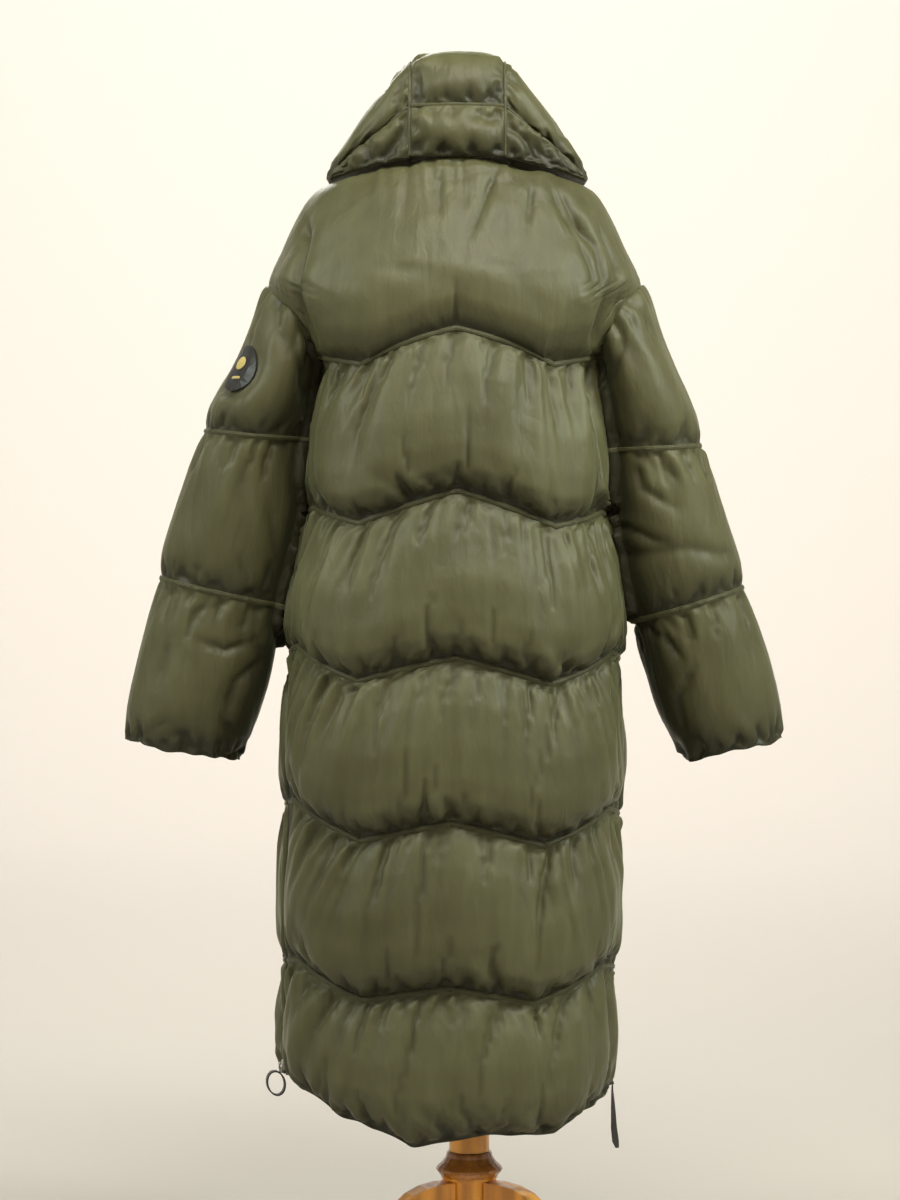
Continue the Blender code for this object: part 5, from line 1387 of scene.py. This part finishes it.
def sew_body(trim, thread):
    """Bands over the chevron seams, interrupted at the side zips."""
    for seam in range(1, TOP_SEAM + 1):
        level = float(seam_value(seam, "peak"))
        keep = float(degrees_across(level, ZIP_HALF + GAP)) if seam <= ZIP_SEAM else 0.0
        left, right = float(side_seam(-1, level)), float(side_seam(1, level))
        edge = float(front_edge(level, ZIP_HALF + 0.001))
        if seam == TOP_SEAM:
            left, right, keep = -89.0, 89.0, 0.0
        band(trim, thread, *chevron_line(seam, left + keep, right - keep))
        band(trim, thread, *chevron_line(seam, right + keep, edge))
        band(trim, thread, *chevron_line(seam, -edge, left - keep))


def sew_sleeves(trim, thread, pieces):
    """Bands between the sleeves' tiers and round the armholes."""
    for sign, table in SLEEVES:
        for number in (1, 2):
            above = pieces[f"sleeve_{side_name(sign)}_tier_{number}"]
            below = pieces[f"sleeve_{side_name(sign)}_tier_{number + 1}"]
            edge = 2
            out = unit(above.out[0] + below.out[-1])
            band(trim, thread, below.outside[-1 - edge], above.outside[edge], out, True)
        sew_armhole(trim, thread, sign, table)


def sew_armhole(trim, thread, sign, table):
    """The band that runs round the armhole from the coat onto the sleeve."""
    phi = np.arange(0.0, 360.0, 3.0)
    deg, run = armhole(sign, np.radians(phi), ARM_BAND)
    out = body_out(deg, run)
    low = body(deg, run) + out * (SEAM_WALL + ARM_FILL - 0.001)
    place = np.full_like(phi, 0.004)
    high = sleeve(table, sign, phi, place) + sleeve_out(table, sign, phi, place) * SEAM_WALL
    band(trim, thread, low, high, unit(out + unit(low - high) * 0.8), True)


def sew_hood(trim, thread):
    """Bands across the centre strip, and piping along it and down the slanting seams."""
    across = np.linspace(-1.0, 1.0, 30)
    for place in (STRIP_SEAM, STRIP_FOLD):
        low, middle, high = (np.full_like(across, place + side) for side in (-HOOD_BAND, 0.0, HOOD_BAND))
        band(trim, thread, strip_point(across, low) + strip_out(across, low) * SEAM_WALL,
             strip_point(across, high) + strip_out(across, high) * SEAM_WALL, strip_out(across, middle))
    place = np.linspace(0.004, 0.996, 110)
    along = np.linspace(0.02, 0.985, 60)
    for sign in (-1, 1):
        edge = np.full_like(place, sign * (1.0 + 0.5 * STRIP_KEEP / STRIP_HALF))
        away = strip_out(edge, place) * 0.9 + np.array([sign * 0.45, 0.0, 0.0])
        cord_line(trim, strip_point(edge, place) + unit(away) * STRIP_PIPE_LIFT, PIPE_RADIUS)
        near_seam = np.full_like(along, 0.97)
        out = facing(lambda a, b: side_lower(sign, a, b), near_seam, along, *PANEL_PROBE) * -sign
        cord_line(trim, slanting_seam(sign, along) + out * SLANT_PIPE_LIFT, PIPE_RADIUS)


def sew_zips(teeth):
    """Teeth up the two side zips and the front zip."""
    for sign in (-1, 1):
        middle = SIDE_SEAM_RIGHT if sign > 0 else SIDE_SEAM_LEFT
        low, high = (float(seam_height(seam, middle)) for seam in (0, ZIP_SEAM))
        run = np.arange(low + 0.004, high - 0.004, ZIP_RISE)
        tooth_row(teeth, side_seam(sign, run), run)
    run = np.arange(seam_value(0, "front") + 0.004, NECK_RUN - 0.016, ZIP_RISE)
    tooth_row(teeth, np.full_like(run, 180.0), run)


def tooth_row(teeth, deg, run):
    """Two rows of teeth up a zip, the right one half a step on from the left."""
    out = body_out(deg, run)
    line = body(deg, run) + out * (ZIP_WALL + TOOTH_LIFT)
    for side in (-1, 1):
        places = even(line, TOOTH_STEP) + (0.5 * TOOTH_STEP / ZIP_RISE if side > 0 else 0.0)
        places = places[places < len(line) - 1]
        n = unit(at_places(out, places))
        t = unit(at_places(np.gradient(line, axis=0), places))
        b = unit(np.cross(n, t))
        teeth.chips(at_places(line, places) + b * side * TOOTH_OFF, t, b, n, TOOTH_SIZE)


# ---------------------------------------------------------------- materials
OFF_CENTRE = (0.4137, 0.3779, 0.2913)   # keeps the noise's own lattice off the coat's middle
LEVEL = (1.0, 1.0, 1.0)
# the nylon's tones; the darkest stop, at 0.0, is reached mostly where painted shade pulls the tone down
NYLON_TONES = ((0.0, (0.024, 0.023, 0.009)), (0.30, (0.060, 0.057, 0.023)),
               (0.52, (0.079, 0.076, 0.032)), (0.74, (0.101, 0.099, 0.044)))
BEECH_DARK, BEECH_LIGHT = (0.570, 0.215, 0.016), (0.850, 0.368, 0.031)
STAIN_DARK, STAIN_LIGHT = (0.220, 0.080, 0.015), (0.390, 0.158, 0.032)


def nodes_of(name):
    made = bpy.data.materials.new(name)
    made.use_nodes = True
    return made, made.node_tree, made.node_tree.nodes["Principled BSDF"]


class Look:
    """A node material with short helpers; those that reckon a value give its socket."""

    def __init__(self, name, roughness=0.5, metallic=0.0, **sockets):
        self.made, self.tree, self.shader = nodes_of(name)
        self.place = self.node("ShaderNodeTexCoord").outputs["Object"]
        self.normal = None
        for socket, value in {"Roughness": roughness, "Metallic": metallic, **sockets}.items():
            self.shader.inputs[socket.replace("_", " ")].default_value = value

    def node(self, kind, **values):
        made = self.tree.nodes.new(kind)
        for name, value in values.items():
            made.inputs[name.replace("_", " ")].default_value = value
        return made

    def link(self, a, b):
        self.tree.links.new(a, b)

    def stretched(self, scale, place=None):
        moved = self.node("ShaderNodeMapping", Scale=scale, Location=OFF_CENTRE)
        self.link(self.place if place is None else place, moved.inputs["Vector"])
        return moved.outputs["Vector"]

    def noise(self, scale, detail=4.0, rough=0.5, distortion=0.0, stretch=LEVEL, place=None):
        made = self.node("ShaderNodeTexNoise", Scale=scale, Detail=detail, Roughness=rough,
                         Distortion=distortion)
        self.link(self.stretched(stretch, place), made.inputs["Vector"])
        return made.outputs["Fac"]

    def wave(self, scale, direction, distortion=0.0, kind="BANDS", detail_scale=1.0, stretch=LEVEL):
        made = self.node("ShaderNodeTexWave", Scale=scale, Distortion=distortion, Detail_Scale=detail_scale)
        made.wave_type = kind
        setattr(made, "bands_direction" if kind == "BANDS" else "rings_direction", direction)
        self.link(self.stretched(stretch), made.inputs["Vector"])
        return made.outputs["Fac"]

    def attribute(self, name):
        made = self.node("ShaderNodeAttribute")
        made.attribute_name = name
        return made.outputs["Fac"]

    def math(self, kind, value, amount=0.0, by=None):
        """A value reckoned with a number, or with a second value."""
        made = self.node("ShaderNodeMath")
        made.operation = kind
        self.link(value, made.inputs[0])
        made.inputs[1].default_value = amount
        if by is not None:
            self.link(by, made.inputs[1])
        return made.outputs["Value"]

    def ridges(self, scale, stretch):
        """Noise folded at its middle: sharp creases with soft fields between."""
        folded = self.math("ABSOLUTE", self.math("SUBTRACT", self.noise(scale, 3.0, 0.45, 0.6, stretch), 0.5))
        return self.math("MINIMUM", self.math("MULTIPLY", folded, 4.0), 1.0)

    def streaks(self, scale, stretch):
        """Fine straight folds in the cloth's own direction, strongest beside its seams."""
        weave = self.node("ShaderNodeUVMap")
        weave.uv_map = "weave"
        fine = self.noise(scale, 1.0, 0.4, 0.2, (1.0, stretch, 1.0), weave.outputs["UV"])
        return self.math("MULTIPLY", self.math("SUBTRACT", fine, 0.5), by=self.attribute("pucker"))

    def blend(self, a, b, amount):
        made = self.node("ShaderNodeMix")
        made.data_type = "FLOAT"
        made.inputs["Factor"].default_value = amount
        self.link(a, made.inputs["A"])
        self.link(b, made.inputs["B"])
        return made.outputs["Result"]

    def colour(self, value, *stops):
        ramp = self.node("ShaderNodeValToRGB")
        while len(ramp.color_ramp.elements) < len(stops):
            ramp.color_ramp.elements.new(0.5)
        for element, (place, rgb) in zip(ramp.color_ramp.elements, stops):
            element.position, element.color = place, (*rgb, 1.0)
        self.link(value, ramp.inputs["Fac"])
        self.link(ramp.outputs["Color"], self.shader.inputs["Base Color"])

    def rough(self, value, low, high):
        made = self.node("ShaderNodeMapRange", To_Min=low, To_Max=high)
        self.link(value, made.inputs["Value"])
        self.link(made.outputs["Result"], self.shader.inputs["Roughness"])

    def bump(self, value, strength, distance):
        """One more bump on top of those laid before."""
        made = self.node("ShaderNodeBump", Strength=strength, Distance=distance)
        self.link(value, made.inputs["Height"])
        if self.normal is not None:
            self.link(self.normal, made.inputs["Normal"])
        self.normal = made.outputs["Normal"]
        self.link(self.normal, self.shader.inputs["Normal"])


def nylon(name="olive_nylon_look", painted_shade_factor=1.0, streaked=True):
    """The coat's cloth; `streaked` needs the weave, pucker and hollow values of a padded piece, the hollow
    values being painted shade and painted highlight on its colour.
    """
    look = Look(name, Sheen_Weight=0.18, Sheen_Roughness=0.35, Specular_IOR_Level=0.36)
    look.shader.inputs["Sheen Tint"].default_value = (0.72, 0.80, 0.56, 1.0)
    broad = look.noise(7.0, 5.0, 0.55, 0.3, (1.0, 1.0, 0.7))
    streak = look.noise(60.0, 3.0, 0.5, 0.2, (1.0, 1.0, 0.16))
    tone = look.blend(broad, streak, 0.35)
    if streaked:
        # painted shade and painted highlight: the hollow values darken the tone in hollows and lighten it on
        # ridges
        tone = look.math("ADD", tone, by=look.attribute("hollow"))
    look.colour(tone, *((place, tuple(painted_shade_factor * v for v in rgb)) for place, rgb in NYLON_TONES))
    look.rough(broad, 0.44, 0.56)
    look.bump(streak, 0.25, 0.0016)
    if streaked:
        look.bump(look.streaks(90.0, 0.030), 0.60, 0.0022)
        look.bump(look.streaks(240.0, 0.030), 0.45, 0.0006)
    look.bump(look.ridges(30.0, (1.0, 1.0, 0.28)), 0.35, 0.0022)
    look.bump(look.ridges(72.0, (1.0, 1.0, 0.40)), 0.25, 0.0010)
    look.bump(look.noise(34.0, 4.0, 0.55, 0.8, (1.0, 1.0, 0.45)), 0.16, 0.0026)
    look.bump(look.noise(150.0, 5.0, 0.6, 0.4), 0.14, 0.0006)
    look.bump(look.wave(640.0, "DIAGONAL"), 0.10, 0.0002)
    return look.made


def thread_look():
    look = Look("thread_look", 0.7)
    look.colour(look.wave(900.0, "DIAGONAL"), (0.2, (0.040, 0.040, 0.019)), (0.8, (0.075, 0.076, 0.038)))
    look.bump(look.noise(900.0, 2.0), 0.3, 0.0002)
    return look.made


def two_tone(name, roughness, grain, dark, light, bumps, gloss=None, metallic=0.0, **sockets):
    """A plain material: two colours mixed by noise, gloss that varies, and bumps of noise or weave."""
    look = Look(name, roughness, metallic, **sockets)
    look.colour(look.noise(*grain), (0.3, dark), (0.7, light))
    if gloss is not None:
        look.rough(look.noise(*gloss[0]), *gloss[1])
    for kind, values, strength, distance in bumps:
        look.bump(getattr(look, kind)(*values), strength, distance)
    return look.made


def tape_look():
    return two_tone("zip_tape_look", 0.8, (220.0, 4.0), (0.010, 0.010, 0.009), (0.020, 0.019, 0.017),
                    (("wave", (420.0, "Z"), 0.5, 0.0003), ("wave", (420.0, "X"), 0.4, 0.0002)),
                    Sheen_Weight=0.15)


def tooth_look():
    return two_tone("zip_tooth_look", 0.32, (90.0, 3.0), (0.012, 0.012, 0.012), (0.024, 0.023, 0.022),
                    (("noise", (800.0, 2.0), 0.15, 0.0001),), Specular_IOR_Level=0.5)


def strap_look():
    return two_tone("strap_look", 0.55, (160.0, 4.0), (0.010, 0.010, 0.010), (0.022, 0.021, 0.020),
                    (("wave", (300.0, "DIAGONAL"), 0.5, 0.0003), ("noise", (500.0, 3.0), 0.3, 0.0001)),
                    ((60.0, 3.0), (0.42, 0.66)), Sheen_Weight=0.08)


def nickel_look():
    return two_tone("nickel_look", 0.28, (120.0, 4.0, 0.6), (0.50, 0.48, 0.44), (0.66, 0.64, 0.60),
                    (("noise", (600.0, 3.0), 0.12, 0.0001),), ((240.0, 4.0), (0.20, 0.38)), 1.0)


def badge_look():
    return two_tone("badge_look", 0.45, (140.0, 4.0), (0.012, 0.012, 0.012), (0.024, 0.024, 0.023),
                    (("noise", (900.0, 3.0), 0.30, 0.0001),), ((90.0, 4.0), (0.34, 0.52)))


def motif_look():
    return two_tone("motif_look", 0.5, (300.0, 3.0), (0.46, 0.36, 0.10), (0.60, 0.48, 0.17),
                    (("noise", (1200.0, 3.0), 0.3, 0.0001),))


def jersey_look():
    return two_tone("cream_jersey_look", 0.85, (14.0, 4.0), (0.58, 0.52, 0.42), (0.70, 0.64, 0.53),
                    (("wave", (330.0, "X", 1.0), 0.35, 0.0004), ("wave", (250.0, "Z", 1.5), 0.35, 0.0004)),
                    Sheen_Weight=0.2)


def wood_look(name, dark, light, gloss, stretch):
    look = Look(name, 0.35, Coat_Weight=0.35, Coat_Roughness=0.18)
    rings = look.wave(9.0, "X", 7.0, "RINGS", 2.5, stretch)
    pores = look.noise(160.0, 5.0, 0.6, 0.0, (1.0, 1.0, 0.06))
    bright = tuple(v * 1.25 for v in light)
    look.colour(look.blend(rings, pores, 0.35), (0.15, dark), (0.55, light), (0.9, bright))
    look.rough(pores, gloss, gloss + 0.16)
    look.bump(pores, 0.16, 0.0004)
    return look.made


def dress_nodes():
    """Better materials on the CAD pieces that stay."""
    looks = {"cream_jersey": jersey_look(), "black_tape": tape_look(), "black_strap": strap_look(),
             "nickel": nickel_look(), "badge_rubber": badge_look(),
             "beech_wood": wood_look("beech_look", BEECH_DARK, BEECH_LIGHT, 0.24, (1.0, 1.0, 0.12)),
             "stained_wood": wood_look("stained_look", STAIN_DARK, STAIN_LIGHT, 0.20, (1.0, 1.0, 0.3))}
    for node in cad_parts.values():
        for slot in node.material_slots:
            if slot.material.name in looks:
                slot.material = looks[slot.material.name]


# how far up the badge, half width, half height and squareness: an oval and a bar under it
BADGE_SHAPES = ((0.007, 0.011, 0.0085, 2.0), (-0.0125, 0.009, 0.0016, 6.0))
# rings of each shape from its rim to its middle: share of its size, and lift off the badge
BADGE_RINGS = ((1.0, -0.0002), (1.0, 0.0003), (0.92, 0.0006), (0.5, 0.0007), (0.05, 0.0007))
BADGE_SIDES, BADGE_AWAY = 40, 0.02
INSIDE_ARM = (-0.20, 0.0, 1.17)


def badge_motif():
    """A plain oval and bar on the badge, laid on its face."""
    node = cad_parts["sleeve_badge"]
    points = np.array([vertex.co for vertex in node.data.vertices])
    centre = points.mean(0)
    face = np.linalg.svd(points - centre)[2][2]
    out = face * np.sign(np.dot(face, centre - np.array(INSIDE_ARM)))
    up = np.array([0.0, 0.0, 1.0]) - out * out[2]
    up = up / np.linalg.norm(up)
    side = np.cross(up, out)
    tree = BVHTree.FromPolygons(points.tolist(), [list(flat.vertices) for flat in node.data.polygons])

    def on_badge(x, y, lift):
        start = centre + side * x + up * y + out * BADGE_AWAY
        hit = tree.ray_cast(Vector(start), Vector(-out), 0.05)[0]
        return np.array(hit if hit is not None else start - out * BADGE_AWAY) + out * lift

    trim = Trim()
    turns = np.linspace(0.0, 2.0 * np.pi, BADGE_SIDES + 1)[:-1]
    for off, wide, tall, power in BADGE_SHAPES:
        trim.loft([np.array([on_badge(wide * scale * signed_power(math.cos(turn), 2.0 / power),
                                      tall * scale * signed_power(math.sin(turn), 2.0 / power) + off, lift)
                             for turn in turns]) for scale, lift in BADGE_RINGS], False)
    trim.make("badge_motif", motif_look(), "badge_rubber")


def build_cloth(look):
    """Every padded piece, filled and folded, as a mesh in its CAD node's place."""
    on_body = []
    for seam in range(TOP_SEAM):
        on_body += [make_tier(seam, 1.0, True), make_tier(seam, -1.0, False), make_tier(seam, 1.0, False)]
    on_body += [make_yoke(1.0, True), make_yoke(-1.0, False), make_yoke(1.0, False)]
    sleeves = [make_sleeve_tier(sign, table, number) for sign, table in SLEEVES for number in range(3)]
    pieces = on_body + sleeves + make_hood_pieces()
    fill(pieces)
    for piece in pieces:
        refine(piece)
    lean(sleeves, on_body)
    for piece in pieces:
        made = stitched_mesh(piece, look)
    return pieces


# ---------------------------------------------------------------- camera, backdrop and light
CAMERA_PLACE = (-0.009, -3.8, 0.991)
CAMERA_LENS, CAMERA_SENSOR, CAMERA_SHIFT = 91.02, 36.0, -80.0 / 1200.0
FLOOR_FLAT, FLOOR_CURVE, FLOOR_TOP, FLOOR_SIDES = 5.5, 3.5, 8.0, 72
BACKDROP_COLOUR, BACKDROP_ROUGH = (0.50, 0.465, 0.42, 1.0), 0.9
STUDIO_COLOUR, STUDIO_STRENGTH = (1.0, 0.97, 0.90, 1.0), 0.03
# name, place, what it points at, width and height, power, colour, and its share of the gloss
LIGHTS = (
    ("key", (0.35, -1.7, 3.25), (0.0, 0.0, 1.2), (1.5, 0.5), 70.0, (1.0, 0.96, 0.88), 0.4),
    ("left", (-2.0, -1.0, 2.5), (0.0, 0.0, 1.6), (0.5, 1.3), 36.0, (0.92, 1.0, 0.90), 1.0),
    ("right", (2.0, -1.0, 2.5), (0.0, 0.0, 1.6), (0.5, 1.3), 57.0, (0.92, 1.0, 0.90), 1.0),
    ("front", (-0.6, 2.6, 3.0), (0.0, 0.3, 1.0), (1.6, 0.8), 60.0, (1.0, 0.98, 0.94), 0.2),
    ("wall_behind", (0.0, 4.6, 5.4), (0.0, 8.2, 1.6), (5.0, 1.6), 570.0, (1.0, 0.985, 0.96), 0.0),
    ("wall_before", (0.0, -6.0, 4.6), (0.0, -9.0, 2.4), (5.0, 1.0), 160.0, (1.0, 0.98, 0.95), 0.0),
    ("wall_left", (-6.0, 0.0, 4.6), (-9.0, 0.0, 2.4), (1.0, 5.0), 160.0, (1.0, 0.98, 0.95), 0.0),
    ("wall_right", (6.0, 0.0, 4.6), (9.0, 0.0, 2.4), (1.0, 5.0), 160.0, (1.0, 0.98, 0.95), 0.0),
)


def add_camera():
    camera = new_object("camera", bpy.data.cameras.new("camera"))
    camera.data.sensor_fit = "VERTICAL"
    camera.data.sensor_height = CAMERA_SENSOR
    camera.data.lens = CAMERA_LENS
    camera.data.shift_y = CAMERA_SHIFT
    camera.location = CAMERA_PLACE
    camera.rotation_euler = (math.pi / 2, 0.0, 0.0)
    bpy.context.scene.camera = camera


def add_backdrop():
    """A round floor that curves up into a wall far away on every side."""
    curve = np.linspace(0.0, math.pi / 2, 14)
    profile = [(0.6, 0.0), (2.0, 0.0),
               *((FLOOR_FLAT + FLOOR_CURVE * math.sin(t), FLOOR_CURVE * (1.0 - math.cos(t))) for t in curve),
               (FLOOR_FLAT + FLOOR_CURVE, FLOOR_TOP)]
    turns = np.arange(FLOOR_SIDES) * math.tau / FLOOR_SIDES
    points = [(0.0, 0.0, 0.0)] + [(r * math.cos(t), r * math.sin(t), z) for r, z in profile for t in turns]
    faces = [(0, 1 + (k + 1) % FLOOR_SIDES, 1 + k) for k in range(FLOOR_SIDES)]
    faces += (1 + grid_faces(len(profile), FLOOR_SIDES, True)).tolist()
    floor = new_object("floor", bpy.data.meshes.new("floor"))
    floor.data.from_pydata(points, [], faces)
    floor.data.shade_smooth()
    made, _, shader = nodes_of("backdrop")
    shader.inputs["Base Color"].default_value = BACKDROP_COLOUR
    shader.inputs["Roughness"].default_value = BACKDROP_ROUGH
    floor.data.materials.append(made)


def add_lights():
    world = bpy.data.worlds.new("studio")
    bpy.context.scene.world = world
    world.use_nodes = True
    glow = world.node_tree.nodes["Background"]
    glow.inputs["Color"].default_value = STUDIO_COLOUR
    glow.inputs["Strength"].default_value = STUDIO_STRENGTH
    for name, place, aim, size, power, colour, gloss in LIGHTS:
        light = bpy.data.lights.new(name, "AREA")
        light.shape = "RECTANGLE"
        light.size, light.size_y = size
        light.energy = power
        light.color = colour
        light.specular_factor = gloss
        lamp = new_object(name, light)
        lamp.location = place
        lamp.rotation_euler = (Vector(aim) - Vector(place)).to_track_quat("-Z", "Y").to_euler()


# ---------------------------------------------------------------- build
cloth_pieces = build_cloth(nylon())
bands, threads, teeth = Trim(), Trim(), Trim()
sew_body(bands, threads)
sew_sleeves(bands, threads, {piece.name: piece for piece in cloth_pieces})
sew_hood(bands, threads)
sew_zips(teeth)
# the bands' nylon is the coat's nylon darkened to 0.86: painted shade for seams that lie in the creases
# between puffs
bands.make("seam_bands", nylon("olive_band_look", 0.86, False), "olive_nylon")
threads.make("seam_threads", thread_look(), "olive_nylon")
teeth.make("zip_teeth", tooth_look(), "black_tape")
dress_nodes()
badge_motif()
add_camera()
add_backdrop()
add_lights()
bpy.context.scene.view_settings.view_transform = "Standard"
